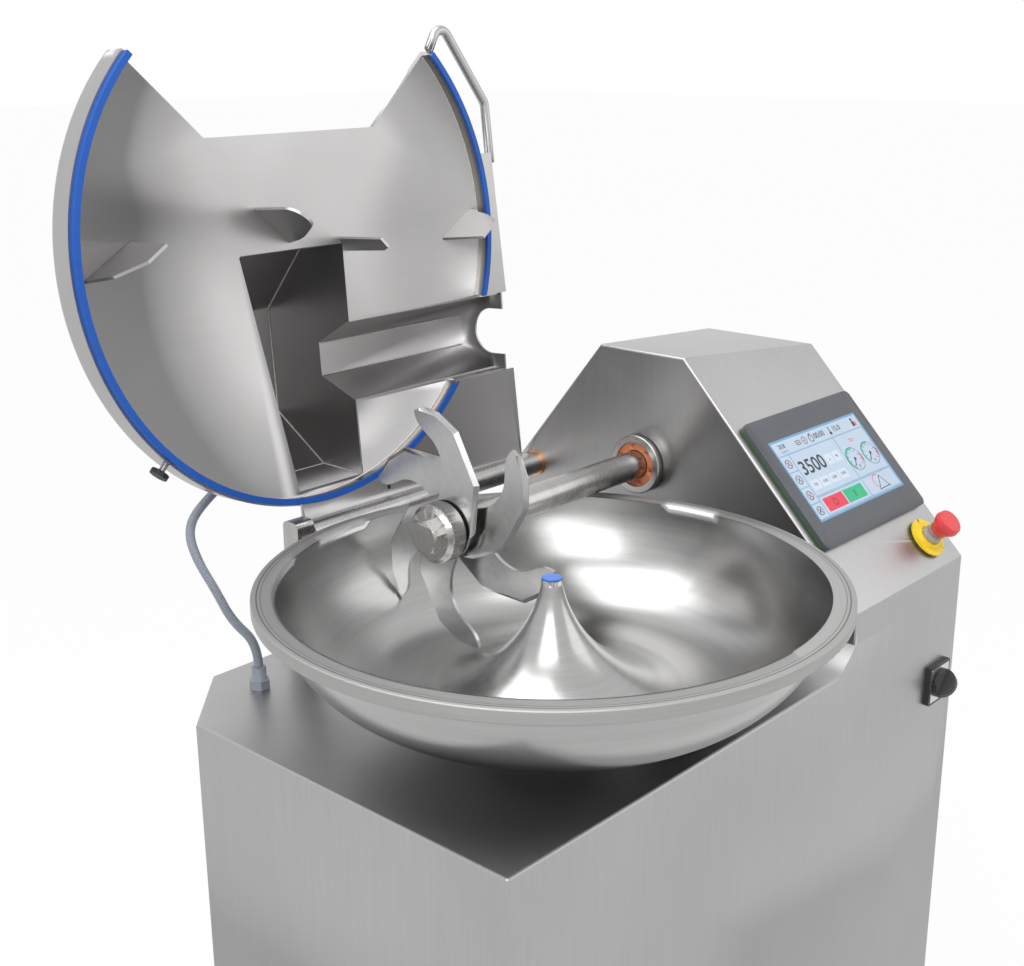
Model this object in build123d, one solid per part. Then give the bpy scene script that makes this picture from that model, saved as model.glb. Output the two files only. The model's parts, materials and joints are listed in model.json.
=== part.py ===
from build123d import *
import math
import os

os.makedirs("parts", exist_ok=True)

# Sizes in millimetres. The origin is on the floor at the middle of the cabinet,
# +X points to the drive housing, +Y to the back and +Z up.

# cabinet
cabinet_length = 988.0
cabinet_depth = 622.0
deck_height = 710.0
floor_gap = 80.0
sheet = 3.0
corner_cut = 102.0
edge_round = 4.0
bottom_lip = 25.0

# drive housing at the right end
housing_length = 303.0
housing_height = 380.0
roof_fall = 24.0
nose_height = 77.0
slope_depth = 292.0
tail_run = 182.0
tail_height = 155.0
facet = 32.0

# bowl
rim_radius = 353.5
bowl_scale = rim_radius / 353.5
channel_middle = 169.0 * bowl_scale
channel_radius = 159.5 * bowl_scale
bowl_wall = 8.0
rim_height = 192.0
rim_band = 16.0
rim_to_wall = 44.5
rim_to_hinge = 23.5
cone_radius = 12.8
cone_rise = 1.0
hub_radius = 32.0
hub_bottom = 35.0
cap_radius = 12.4
cap_height = 2.6

# knife shaft and knife head
shaft_height = 218.0
shaft_radius = 20.0
seat_radius = 18.0
thread_radius = 15.0
running_gap = 0.05
knife_clearance = 3.5
knife_thickness = 5.0
knife_pitch = 14.0
knife_hub = 37.0
nut_across_flats = 41.0
nut_length = 12.0
collar_radius = 38.0
collar_length = 26.0

# lid
hinge_from_back = 56.0
hinge_height = 177.0
hinge_radius = 17.0
open_angle = 94.0
lid_gap = 1.8
lid_shift = 5.0
lid_wall_height = 20.2
lid_sheet = 3.0
hood_sheet = 2.5
shell_sheet = 2.0
shell_height = 29.0
shell_round = 14.0
gasket_width = 8.0
handle_radius = 6.7

# derived places
left = -cabinet_length / 2
right = cabinet_length / 2
front = -cabinet_depth / 2
back = cabinet_depth / 2
deck = deck_height
wall = right - housing_length
roof = deck + housing_height
slope_top = front + slope_depth
hinge_y = back - hinge_from_back
hinge_z = deck + hinge_height
bowl_x = wall - rim_to_wall - rim_radius
bowl_y = hinge_y - rim_to_hinge - rim_radius
rim_top = deck + rim_height
shaft_y = bowl_y + channel_middle
shaft_z = deck + shaft_height
knife_reach = channel_radius - knife_clearance
roof_back = back - tail_run

# the hinge post and the plate above it stand a little left of the bowl's middle
plate_left = bowl_x - 49.0 * bowl_scale
post_right = plate_left - 7.0
post_left = post_right - 28.0


def block(x_low, x_high, y_low, y_high, z_low, z_high):
    middle = Pos((x_low + x_high) / 2, (y_low + y_high) / 2, (z_low + z_high) / 2)
    return middle * Box(x_high - x_low, y_high - y_low, z_high - z_low)


def rod_x(x_low, x_high, y, z, radius):
    return Pos((x_low + x_high) / 2, y, z) * Rot(0, 90, 0) * Cylinder(radius, x_high - x_low)


def rod_y(y_low, y_high, x, z, radius):
    return Pos(x, (y_low + y_high) / 2, z) * Rot(90, 0, 0) * Cylinder(radius, y_high - y_low)


def rod_z(z_low, z_high, x, y, radius):
    return Pos(x, y, (z_low + z_high) / 2) * Cylinder(radius, z_high - z_low)


def pipe_x(x_low, x_high, y, z, outer, inner):
    return rod_x(x_low, x_high, y, z, outer) - rod_x(x_low - 1, x_high + 1, y, z, inner)


def pipe_z(z_low, z_high, x, y, outer, inner):
    return rod_z(z_low, z_high, x, y, outer) - rod_z(z_low - 1, z_high + 1, x, y, inner)


def prism_x(outline, x_low, x_high):
    # outline is a flat face drawn as (y, z)
    return extrude(Plane.YZ.offset(x_low) * outline, amount=x_high - x_low)


def prism_y(outline, y_low, y_high):
    # outline is a flat face drawn as (x, z)
    return extrude(Plane.XZ.offset(-y_low) * outline, amount=-(y_high - y_low))


def prism_z(outline, z_low, z_high):
    # outline is a flat face drawn as (x, y)
    return extrude(Plane.XY.offset(z_low) * outline, amount=z_high - z_low)


def outline_of(*corners):
    return make_face(Polyline(*corners, close=True))


def spun_z(outline, x, y):
    # outline is drawn as (radius, z) and turned about the upright line at x, y
    return Pos(x, y, 0) * revolve(Plane.XZ * outline, Axis.Z)


def opened(shape):
    # swings a piece of the closed lid up to its open place
    axis_place = Pos(0, hinge_y, hinge_z)
    return axis_place * Rot(-open_angle, 0, 0) * axis_place.inverse() * shape


def save(shape, name):
    export_step(shape, "parts/" + name + ".step")


# ---------------------------------------------------------------- cabinet

def side_outline(inset):
    shape = outline_of(
        (left, floor_gap),
        (right, floor_gap),
        (right, roof - roof_fall),
        (wall, roof),
        (wall, deck + facet),
        (wall - facet, deck),
        (left, deck),
    )
    return offset(shape, amount=-inset, kind=Kind.INTERSECTION) if inset else shape


def end_outline(inset):
    shape = outline_of(
        (front, floor_gap),
        (back, floor_gap),
        (back, deck + tail_height),
        (roof_back, roof),
        (slope_top, roof),
        (front, deck + nose_height),
    )
    return offset(shape, amount=-inset, kind=Kind.INTERSECTION) if inset else shape


def plan_outline(inset):
    shape = outline_of(
        (left, front),
        (right, front),
        (right, back),
        (left + corner_cut, back),
        (left, back - corner_cut),
    )
    return offset(shape, amount=-inset, kind=Kind.INTERSECTION) if inset else shape


def cabinet_block(inset):
    along_y = extrude(Plane.XZ * side_outline(inset), amount=cabinet_depth, both=True)
    along_x = extrude(Plane.YZ * end_outline(inset), amount=cabinet_length, both=True)
    along_z = extrude(plan_outline(inset), amount=2 * roof)
    return along_y & along_x & along_z


slope_length = math.hypot(slope_depth, housing_height - nose_height)
slope_in = Vector(0, housing_height - nose_height, -slope_depth) / slope_length
slope_plane = Plane(origin=(wall, slope_top, roof), x_dir=(1, 0, 0), z_dir=-slope_in)


def on_slope(x, down, shape):
    # x is measured from the housing's inner wall, down from the top of the slope
    return slope_plane * Pos(x, -down, 0) * shape


screen_unit_x = housing_length / 2
screen_unit_down = 226.5
screen_unit_width = 276.0
screen_unit_height = 205.0
screen_unit_rise = 10.0
screen_cut_width = 250.0
screen_cut_height = 182.0
stop_x = 244.0
stop_down = 375.0
stop_hole = 11.2
switch_x = right - 58.0
switch_z = deck - 103.0
switch_hole = 15.0
flange_hole = 30.0
bush_radius = 20.0
spindle_tube = 42.0
conduit_share = 0.596
conduit_x = left + conduit_share * (post_left - left)
conduit_y = back - 75.0
conduit_hole = 8.0
mains_x = left + 200.0
mains_z = 200.0
mains_hole = 12.5
hatch_x = left + 500.0
hatch_z = 400.0
hatch_width = 280.0
hatch_height = 420.0
hatch_border = 25.0
vent_count = 9

solid_cabinet = cabinet_block(0)


def is_outer_edge(edge):
    # the upper edges and upright corners that show outside; the inner
    # corner along the deck and the open bottom stay sharp
    middle = edge.center()
    if middle.Z < floor_gap + 1:
        return False
    in_corner = abs(middle.X - wall) < 0.5 and abs(middle.Z - deck - facet) < 0.5
    in_foot = abs(middle.X - wall + facet) < 0.5 and abs(middle.Z - deck) < 0.5
    if in_corner or in_foot:
        return False
    on_step = middle.X < wall + 0.5 and middle.X > wall - facet - 0.5
    if on_step and middle.Z < deck + facet + 0.5:
        return False
    return True


rounded = fillet(solid_cabinet.edges().filter_by(is_outer_edge), edge_round)
hollow = cabinet_block(sheet)
mouth = prism_z(plan_outline(bottom_lip), floor_gap - 1, floor_gap + sheet + 1)
cabinet_shell = rounded - hollow - mouth
cabinet_shell -= rod_x(wall - 1, wall + sheet + 1, shaft_y, shaft_z, flange_hole)
cabinet_shell -= rod_x(wall - 1, wall + sheet + 1, hinge_y, hinge_z, bush_radius)
cabinet_shell -= rod_z(deck - sheet - 1, deck + 1, bowl_x, bowl_y, spindle_tube)
cabinet_shell -= rod_z(deck - sheet - 1, deck + 1, conduit_x, conduit_y, conduit_hole)
cabinet_shell -= on_slope(
    screen_unit_x, screen_unit_down, Box(screen_cut_width, screen_cut_height, 4 * sheet)
)
cabinet_shell -= on_slope(stop_x, stop_down, Cylinder(stop_hole, 4 * sheet))
cabinet_shell -= rod_y(front - 1, front + sheet + 1, switch_x, switch_z, switch_hole)
cabinet_shell -= rod_y(back - sheet - 1, back + 1, mains_x, mains_z, mains_hole)
cabinet_shell -= block(
    hatch_x - hatch_width / 2,
    hatch_x + hatch_width / 2,
    back - sheet - 1,
    back + 1,
    hatch_z - hatch_height / 2,
    hatch_z + hatch_height / 2,
)
for number in range(vent_count):
    slot_y = (number - (vent_count - 1) / 2) * 40.0
    slot = Rot(0, 90, 0) * extrude(SlotOverall(150.0, 12.0), amount=sheet + 1, both=True)
    cabinet_shell -= Pos(right - sheet / 2, slot_y, 330.0) * slot

# ---------------------------------------------------------------- base frame

frame_tube = 50.0
frame_low = floor_gap + sheet
frame_high = frame_low + frame_tube
frame_wall = 4.0
motor_y = shaft_y - 28.0
motor_z = 400.0
motor_x = wall + 35.0
motor_length = 140.0
motor_radius = 95.0
bed_height = 300.0
bed_thickness = 10.0

ring = prism_z(plan_outline(sheet), frame_low, frame_high)
ring -= prism_z(plan_outline(sheet + frame_tube), frame_low - 1, frame_high + 1)
groove = prism_z(plan_outline(sheet + frame_wall), frame_low + frame_wall, frame_high - frame_wall)
base_frame = ring - groove
bed_left = motor_x - 20.0
bed_right = motor_x + motor_length + 20.0
bed_front = motor_y - 130.0
bed_back = motor_y + 130.0
rail_front = front + sheet + frame_wall
rail_back = back - sheet - frame_wall
leg = 40.0
for rail_x in (bed_left, bed_right - leg):
    base_frame += block(rail_x, rail_x + leg, rail_front, rail_back, frame_low, frame_high)
    for leg_y in (bed_front, bed_back - leg):
        base_frame += block(
            rail_x, rail_x + leg, leg_y, leg_y + leg, frame_high - 1, bed_height - bed_thickness
        )
base_frame += block(
    bed_left, bed_right, bed_front, bed_back, bed_height - bed_thickness, bed_height
)

foot_inset = 45.0
foot_radius = 30.0
foot_places = [
    (left + foot_inset, front + foot_inset),
    (right - foot_inset, front + foot_inset),
    (right - foot_inset, back - foot_inset),
    (left + corner_cut, back - foot_inset),
]
feet = []
for foot_x, foot_y in foot_places:
    base_frame -= rod_z(frame_low - 1, frame_low + frame_wall + 1, foot_x, foot_y, 8.3)
    cabinet_shell -= rod_z(floor_gap - 1, frame_low + 1, foot_x, foot_y, 8.3)
    pad = rod_z(0, 14, foot_x, foot_y, foot_radius)
    pad += Pos(foot_x, foot_y, 20) * Cone(foot_radius, 12, 12)
    stud = rod_z(26, frame_high - 20, foot_x, foot_y, 8)
    nut = Pos(foot_x, foot_y, floor_gap - 10) * extrude(RegularPolygon(13.9, 6), amount=10)
    feet.append(pad + stud + nut)
levelling_feet = Compound(feet)

# the casing over the drive is a piece of its own, welded on above the deck
weld_height = deck + facet
above_weld = block(left - 10, right + 10, front - 10, back + 10, weld_height, roof + 10)
housing_shell = cabinet_shell & above_weld
cabinet_shell -= above_weld
save(cabinet_shell, "cabinet_shell")
save(housing_shell, "housing_shell")
save(base_frame, "base_frame")
save(levelling_feet, "levelling_feet")

# ---------------------------------------------------------------- back hatch

panel_left = hatch_x - hatch_width / 2 - hatch_border
panel_right = hatch_x + hatch_width / 2 + hatch_border
panel_low = hatch_z - hatch_height / 2 - hatch_border
panel_high = hatch_z + hatch_height / 2 + hatch_border
rear_panel = block(panel_left, panel_right, back, back + 2, panel_low, panel_high)
rear_panel = fillet(rear_panel.edges().filter_by(Axis.Y), 8)
screws = []
for screw_x in (panel_left + 12, hatch_x, panel_right - 12):
    for screw_z in (panel_low + 12, panel_high - 12):
        head = rod_y(back + 2, back + 6, screw_x, screw_z, 5)
        head -= Pos(screw_x, back + 6, screw_z) * Rot(90, 0, 0) * extrude(
            RegularPolygon(2.9, 6), amount=2.5, both=True
        )
        screws.append(head)
save(rear_panel, "rear_panel")
save(Compound(screws), "rear_panel_screws")

mains_bore = 10.0
mains_gland = Pos(mains_x, back, mains_z) * Rot(-90, 0, 0) * extrude(RegularPolygon(19, 6), amount=12)
mains_gland += rod_y(back + 12, back + 30, mains_x, mains_z, 15.5)
mains_gland += rod_y(back - 12, back, mains_x, mains_z, mains_hole - 0.2)
mains_gland -= rod_y(back - 13, back + 31, mains_x, mains_z, mains_bore)
save(mains_gland, "mains_gland")

# ---------------------------------------------------------------- bowl and its drive

channel_z = deck + shaft_height
channel_outer = channel_radius + bowl_wall
inner_reach = math.sqrt(channel_radius ** 2 - (channel_z - rim_top) ** 2)
band_low = rim_top - rim_band
outer_reach = math.sqrt(channel_outer ** 2 - (channel_z - band_low) ** 2)
cone_reach = channel_middle - cone_radius
cone_shoulder = channel_z - math.sqrt(channel_radius ** 2 - cone_reach ** 2)
hub_reach = channel_middle - hub_radius
hub_join = channel_z - math.sqrt(channel_outer ** 2 - hub_reach ** 2)
cone_top = rim_top + cone_rise
spindle_bore = shaft_radius + running_gap
spindle_top = deck + 120.0

bowl_section = [
    Line((channel_middle + inner_reach, rim_top), (rim_radius - 2, rim_top)),
    RadiusArc((rim_radius - 2, rim_top), (rim_radius, rim_top - 2), 2),
    Line((rim_radius, rim_top - 2), (rim_radius, band_low + 2)),
    RadiusArc((rim_radius, band_low + 2), (rim_radius - 2, band_low), 2),
    Line((rim_radius - 2, band_low), (channel_middle + outer_reach, band_low)),
    ThreePointArc(
        (channel_middle + outer_reach, band_low),
        (channel_middle, channel_z - channel_outer),
        (hub_radius, hub_join),
    ),
    Line((hub_radius, hub_join), (hub_radius, deck + hub_bottom)),
    Line((hub_radius, deck + hub_bottom), (spindle_bore, deck + hub_bottom)),
    Line((spindle_bore, deck + hub_bottom), (spindle_bore, spindle_top)),
    Line((spindle_bore, spindle_top), (0, spindle_top)),
    Line((0, spindle_top), (0, cone_top)),
    Line((0, cone_top), (cone_radius, cone_top)),
    Line((cone_radius, cone_top), (cone_radius, cone_shoulder)),
    ThreePointArc(
        (cone_radius, cone_shoulder),
        (channel_middle, channel_z - channel_radius),
        (channel_middle + inner_reach, rim_top),
    ),
]
bowl = spun_z(make_face(bowl_section), bowl_x, bowl_y)
save(bowl, "bowl")

bowl_cap = rod_z(cone_top, cone_top + cap_height, bowl_x, bowl_y, cap_radius)
bowl_cap = fillet(bowl_cap.edges().group_by(Axis.Z)[-1], 1.0)
save(bowl_cap, "bowl_cap")

spindle_radius = 22.5
housing_bore = 36.0
gearbox_half = 80.0
gearbox_top = deck - 60.0
gearbox_bottom = deck - 170.0
bowl_spindle = rod_z(gearbox_bottom + 5, deck + 25, bowl_x, bowl_y, spindle_radius)
bowl_spindle += rod_z(deck + 25, deck + hub_bottom, bowl_x, bowl_y, 45)
bowl_spindle += rod_z(deck + hub_bottom, spindle_top - 2, bowl_x, bowl_y, shaft_radius)
save(bowl_spindle, "bowl_spindle")

spindle_housing = rod_z(deck, deck + 12, bowl_x, bowl_y, 75)
spindle_housing += rod_z(gearbox_top, deck + 22, bowl_x, bowl_y, spindle_tube - 0.2)
spindle_housing -= rod_z(gearbox_top - 1, deck + 23, bowl_x, bowl_y, housing_bore)
for number in range(6):
    turn = math.radians(60 * number + 30)
    bolt_x = bowl_x + 60 * math.cos(turn)
    bolt_y = bowl_y + 60 * math.sin(turn)
    spindle_housing += Pos(bolt_x, bolt_y, deck + 12) * extrude(RegularPolygon(8, 6), amount=6)
save(spindle_housing, "spindle_housing")

spindle_bearings = Compound([
    pipe_z(low, low + 18, bowl_x, bowl_y, housing_bore - running_gap, spindle_radius + running_gap)
    for low in (gearbox_top + 2, deck + 2)
])
save(spindle_bearings, "spindle_bearings")

bowl_gear_motor = block(
    bowl_x - gearbox_half,
    bowl_x + gearbox_half,
    bowl_y - gearbox_half,
    bowl_y + gearbox_half,
    gearbox_bottom,
    gearbox_top,
)
bowl_gear_motor = fillet(bowl_gear_motor.edges().filter_by(Axis.Z), 12)
gear_motor_length = 193.0
gear_motor_radius = 55.0
gear_motor_fin = 5.0
gear_motor_z = (gearbox_top + gearbox_bottom) / 2
gear_motor_left = bowl_x + gearbox_half
gear_motor_right = gear_motor_left + gear_motor_length
bowl_gear_motor += rod_x(gear_motor_left, gear_motor_right, bowl_y, gear_motor_z, gear_motor_radius)
fin_radius = gear_motor_radius + gear_motor_fin
for number in range(14):
    fin_x = gear_motor_left + 2 * gear_motor_fin * (number + 2)
    bowl_gear_motor += rod_x(fin_x, fin_x + 4, bowl_y, gear_motor_z, fin_radius)
bowl_gear_motor -= rod_z(
    gearbox_bottom - 1, gearbox_top + 1, bowl_x, bowl_y, spindle_radius + 0.5
)
save(bowl_gear_motor, "bowl_gear_motor")

# ---------------------------------------------------------------- knife shaft and drive

nut_left = bowl_x - 48.0
collar_left = nut_left + nut_length
head_left = collar_left + collar_length
seat_end = head_left + 2 * knife_pitch + knife_thickness + 8.0
first_knife = head_left + 3.5
flange_left = wall - 21.0
bearing_left = wall + sheet
bearing_right = bearing_left + 162.0
pulley_left = wall + 200.0
pulley_right = pulley_left + 30.0
shaft_right = pulley_right + 15.0

knife_shaft = rod_x(nut_left + 4, collar_left + 4, shaft_y, shaft_z, thread_radius)
knife_shaft += rod_x(collar_left + 4, seat_end, shaft_y, shaft_z, seat_radius)
knife_shaft += rod_x(seat_end, shaft_right, shaft_y, shaft_z, shaft_radius)
save(knife_shaft, "knife_shaft")

nut_blank = Pos(nut_left, shaft_y, shaft_z) * Rot(0, 90, 0) * extrude(
    RegularPolygon(nut_across_flats / math.sqrt(3), 6, rotation=15), amount=nut_length
)
nut_turned = rod_x(nut_left, collar_left, shaft_y, shaft_z, nut_across_flats / math.sqrt(3))
nut_turned = chamfer(nut_turned.edges().group_by(Axis.X)[0], 3.2)
shaft_nut = nut_blank & nut_turned
shaft_nut -= rod_x(nut_left + 4, collar_left + 1, shaft_y, shaft_z, thread_radius + running_gap)
save(shaft_nut, "shaft_nut")

clamp_collar = rod_x(collar_left, head_left, shaft_y, shaft_z, collar_radius)
clamp_collar = chamfer(clamp_collar.edges().group_by(Axis.X)[0], 6)
clamp_collar -= rod_x(collar_left - 1, head_left + 1, shaft_y, shaft_z, thread_radius + running_gap)
clamp_collar -= rod_x(collar_left + 4, head_left + 1, shaft_y, shaft_z, seat_radius + running_gap)
save(clamp_collar, "clamp_collar")

spacer_stops = [head_left]
for number in range(3):
    knife_low = first_knife + number * knife_pitch
    spacer_stops += [knife_low, knife_low + knife_thickness]
spacer_stops.append(seat_end)
spacers = []
for number in range(4):
    spacers.append(
        pipe_x(
            spacer_stops[2 * number],
            spacer_stops[2 * number + 1],
            shaft_y,
            shaft_z,
            30,
            seat_radius + running_gap,
        )
    )
save(Compound(spacers), "knife_spacers")


def polar(radius, degrees):
    turned = math.radians(degrees)
    return (radius * math.cos(turned), radius * math.sin(turned))


def blade_point(share, degrees):
    # share is the distance from the shaft as a part of the knife's reach
    return polar(share * knife_reach, degrees)


# the cutting edge runs along straight facets from the ring out to the tip
edge_corners = [
    blade_point(0.295, 100),
    blade_point(0.551, 54),
    blade_point(0.84, 24),
    blade_point(0.955, 10),
    blade_point(1.0, 1),
]


def knife_blank():
    # one blade with its half of the clamping ring, drawn as (y, z) about the
    # shaft with the tip near angle 0 and the back hollowed like a sickle
    root_low = polar(knife_hub - 1, 118)
    root_high = polar(knife_hub - 1, -12)
    tip_end = blade_point(0.992, -4.5)
    hollow_side = Spline(
        tip_end,
        blade_point(0.853, -3),
        blade_point(0.724, 5),
        blade_point(0.577, 11),
        blade_point(0.455, 12),
        blade_point(0.321, 5),
        root_high,
    )
    edge_side = Polyline(root_low, *edge_corners, tip_end)
    blade = make_face([edge_side, hollow_side, Line(root_high, root_low)])
    half_ring = Circle(knife_hub)
    half_ring &= Pos(*polar(knife_hub, 55)) * Rot(0, 0, 55) * Rectangle(
        2 * knife_hub - 0.2, 4 * knife_hub
    )
    blade = blade + half_ring - Circle(seat_radius + running_gap)
    return extrude(blade, amount=knife_thickness)


bevel_reach = 5.0
bevel_depth = knife_thickness - 0.8


def bevel_wedge(near, far):
    # the wedge ground away along one straight facet of the edge
    run = Vector(0, far[0] - near[0], far[1] - near[1])
    outward = Vector(0, -run.Z, run.Y).normalized()
    middle = Vector(0, (near[0] + far[0]) / 2, (near[1] + far[1]) / 2)
    across = Plane(origin=middle, x_dir=outward, z_dir=outward.cross(Vector(1, 0, 0)))
    wedge = outline_of(
        (-2 * bevel_reach, -bevel_depth),
        (bevel_reach, 2 * bevel_depth),
        (3 * bevel_reach, -bevel_depth),
    )
    return extrude(across * wedge, amount=run.length / 2 + bevel_reach, both=True)


knife_solid = Plane.YZ * knife_blank()
for near, far in zip(edge_corners, edge_corners[1:]):
    knife_solid -= bevel_wedge(near, far)
for number in range(6):
    turn = 14.5 + 60 * number
    plane = (number + 2) % 3
    place = Pos(first_knife + plane * knife_pitch, shaft_y, shaft_z)
    knife = place * Rot(turn, 0, 0) * knife_solid
    save(knife, "knife_%d" % (number + 1))

shaft_flange = pipe_x(flange_left, wall, shaft_y, shaft_z, 43, 33)
shaft_flange -= pipe_x(flange_left + 9, flange_left + 12, shaft_y, shaft_z, 44, 39)
shaft_flange = fillet(shaft_flange.edges().group_by(Axis.X)[0].sort_by(SortBy.LENGTH)[-1], 2)
save(shaft_flange, "shaft_flange")

shaft_seal = pipe_x(flange_left + 3, wall, shaft_y, shaft_z, 33 - running_gap, 21)
for number in range(6):
    turn = math.radians(60 * number + 15)
    hole_y = shaft_y + 27 * math.cos(turn)
    hole_z = shaft_z + 27 * math.sin(turn)
    shaft_seal -= rod_x(flange_left + 2, flange_left + 9, hole_y, hole_z, 2)
save(shaft_seal, "shaft_seal")

bearing_housing = rod_x(bearing_left, bearing_left + 12, shaft_y, shaft_z, 70)
bearing_housing += rod_x(bearing_left, bearing_right, shaft_y, shaft_z, 45)
bearing_housing -= rod_x(bearing_left - 1, bearing_right + 1, shaft_y, shaft_z, 34)
save(bearing_housing, "bearing_housing")
shaft_bearings = Compound([
    pipe_x(low, low + 22, shaft_y, shaft_z, 34 - running_gap, shaft_radius + running_gap)
    for low in (bearing_left + 12, bearing_right - 34)
])
save(shaft_bearings, "shaft_bearings")

motor_right = motor_x + motor_length
rotor_radius = 14.0
knife_motor = rod_x(motor_x, motor_right, motor_y, motor_z, motor_radius - 5)
for number in range(24):
    rib = block(motor_x + 18, motor_right - 18, -2, 2, motor_radius - 8, motor_radius)
    rib = Rot(number * 15, 0, 0) * rib
    knife_motor += Pos(0, motor_y, motor_z) * rib
knife_motor += block(
    motor_x + 20, motor_right - 20, motor_y - 75, motor_y + 75, bed_height, bed_height + 40
)
knife_motor -= rod_x(motor_x + 12, motor_right - 12, motor_y, motor_z, 60)
knife_motor -= rod_x(motor_right - 13, motor_right + 1, motor_y, motor_z, rotor_radius + running_gap)
knife_motor -= rod_x(motor_x + 5, motor_x + 13, motor_y, motor_z, rotor_radius + running_gap)
save(knife_motor, "knife_motor")
motor_rotor = rod_x(motor_x + 6, pulley_right + 5, motor_y, motor_z, rotor_radius)
motor_rotor += rod_x(motor_x + 20, motor_right - 20, motor_y, motor_z, 55)
save(motor_rotor, "motor_rotor")

shaft_pulley_radius = 55.0
motor_pulley_radius = 80.0
belt_thickness = 6.0


def pulley(radius, bore, y, z):
    body = rod_x(pulley_left, pulley_right, y, z, radius)
    for side in (pulley_left, pulley_right - 2):
        body += rod_x(side, side + 2, y, z, radius + 4)
    return body - rod_x(pulley_left - 1, pulley_right + 1, y, z, bore)


save(pulley(shaft_pulley_radius, shaft_radius + running_gap, shaft_y, shaft_z), "shaft_pulley")
save(pulley(motor_pulley_radius, rotor_radius + running_gap, motor_y, motor_z), "motor_pulley")

belt_rise = shaft_z - motor_z
belt_shift = shaft_y - motor_y
belt_span = math.hypot(belt_rise, belt_shift)


def belt_outline(shaft_side, motor_side):
    # the loop round two circles: both circles and the band between their tangents
    lean = math.degrees(math.asin((motor_side - shaft_side) / belt_span))
    away = math.degrees(math.atan2(belt_rise, belt_shift))
    corners = []
    for side in (1, -1):
        angle = away + side * (90 + lean)
        for y, z, radius in ((motor_y, motor_z, motor_side), (shaft_y, shaft_z, shaft_side)):
            corners.append(
                (y + radius * math.cos(math.radians(angle)), z + radius * math.sin(math.radians(angle)))
            )
    band = outline_of(corners[0], corners[1], corners[3], corners[2])
    return band + Pos(shaft_y, shaft_z) * Circle(shaft_side) + Pos(motor_y, motor_z) * Circle(motor_side)


belt_gap = 0.3
drive_belt = prism_x(
    belt_outline(
        shaft_pulley_radius + belt_gap + belt_thickness, motor_pulley_radius + belt_gap + belt_thickness
    ),
    pulley_left + 3,
    pulley_right - 3,
)
drive_belt -= prism_x(
    belt_outline(shaft_pulley_radius + belt_gap, motor_pulley_radius + belt_gap),
    pulley_left,
    pulley_right,
)
save(drive_belt, "drive_belt")

# ---------------------------------------------------------------- control panel

frame_face = 4.0
unit_body = Pos(0, 0, frame_face) * extrude(
    RectangleRounded(screen_unit_width, screen_unit_height, 9), amount=screen_unit_rise - frame_face
)
unit_body = chamfer(unit_body.edges().group_by(Axis.Z)[-1], 1.2)
unit_body += Pos(0, 0, -45) * extrude(
    Rectangle(screen_cut_width - 6, screen_cut_height - 6), amount=45 + frame_face + 1
)
glass_width = 230.0
glass_height = 130.0
unit_body -= Pos(0, 0, screen_unit_rise - 1) * extrude(Rectangle(glass_width, glass_height), amount=2)
glass = Pos(0, 0, screen_unit_rise - 1) * extrude(Rectangle(glass_width, glass_height), amount=1)
unit_seal = extrude(RectangleRounded(screen_unit_width - 3, screen_unit_height - 3, 8), amount=frame_face)
unit_seal -= Pos(0, 0, -1) * extrude(
    Rectangle(screen_cut_width - 6, screen_cut_height - 6), amount=frame_face + 2
)
save(on_slope(screen_unit_x, screen_unit_down, unit_body), "hmi_housing")
save(on_slope(screen_unit_x, screen_unit_down, glass), "hmi_screen")
save(on_slope(screen_unit_x, screen_unit_down, unit_seal), "hmi_gasket")

stop_travel = 5.0


def upright(low, high, radius):
    return Pos(0, 0, (low + high) / 2) * Cylinder(radius, high - low)


stop_collar = upright(0, 4, 22) + upright(-30, 4, 10.9) + upright(6.5, 19, 14)
stop_collar += upright(4, 6.5, 10.9) + upright(-8, -3, 17)
stop_collar -= upright(-31, 20, 7.05)
stop_plate = upright(4, 6.5, 30) - upright(3, 7, 10.95)
stop_plate += upright(6.5, 11, 19.5) - upright(6, 12, 14.05)
stop_plunger = upright(-19, 25.5, 7)
head_section = [
    Line((0, 25.5), (13, 25.5)),
    Line((13, 25.5), (14, 31)),
    Spline((14, 31), (16.5, 35.5), (19.3, 40.5), (20, 44)),
    Line((20, 44), (18.6, 50.5)),
    RadiusArc((18.6, 50.5), (16.2, 52.5), -2.5),
    Line((16.2, 52.5), (0, 53.3)),
    Line((0, 53.3), (0, 25.5)),
]
stop_head = revolve(Plane.XZ * make_face(head_section), Axis.Z)
stop_plate = chamfer(stop_plate.edges().group_by(Axis.Z)[-1].sort_by(SortBy.LENGTH)[-1], 1.4)
save(on_slope(stop_x, stop_down, stop_collar), "estop_collar")
save(on_slope(stop_x, stop_down, stop_plate), "estop_plate")
save(on_slope(stop_x, stop_down, stop_plunger), "estop_plunger")
save(on_slope(stop_x, stop_down, stop_head), "estop_head")

switch_plane = Plane(origin=(switch_x, front, switch_z), x_dir=(1, 0, 0), z_dir=(0, -1, 0))
switch_body = extrude(RectangleRounded(60, 60, 4), amount=8)
switch_body += upright(-45, 0, switch_hole - 0.3)
switch_body -= Pos(0, 0, 6.5) * extrude(RectangleRounded(52, 52, 2), amount=2)
switch_body -= upright(-20, 9, 4.05)
switch_plate = Pos(0, 0, 6.5) * extrude(RectangleRounded(51.8, 51.8, 2), amount=2.2)
switch_plate -= upright(5, 10, 4.05)
switch_knob = upright(-18, 9.2, 4) + upright(9.2, 14, 22)
grip_side = Pos(0, -2) * Circle(22) & Pos(0, 10) * Rectangle(60, 20)
grip = extrude(Plane.XZ * grip_side, amount=6.5, both=True)
grip = fillet(grip.edges().filter_by(GeomType.CIRCLE), 2.5)
switch_knob += Pos(0, 0, 13.9) * grip
switch_knob = Rot(0, 0, 45) * switch_knob
save(switch_plane * switch_body, "switch_body")
save(switch_plane * switch_plate, "switch_plate")
save(switch_plane * switch_knob, "switch_knob")

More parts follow.
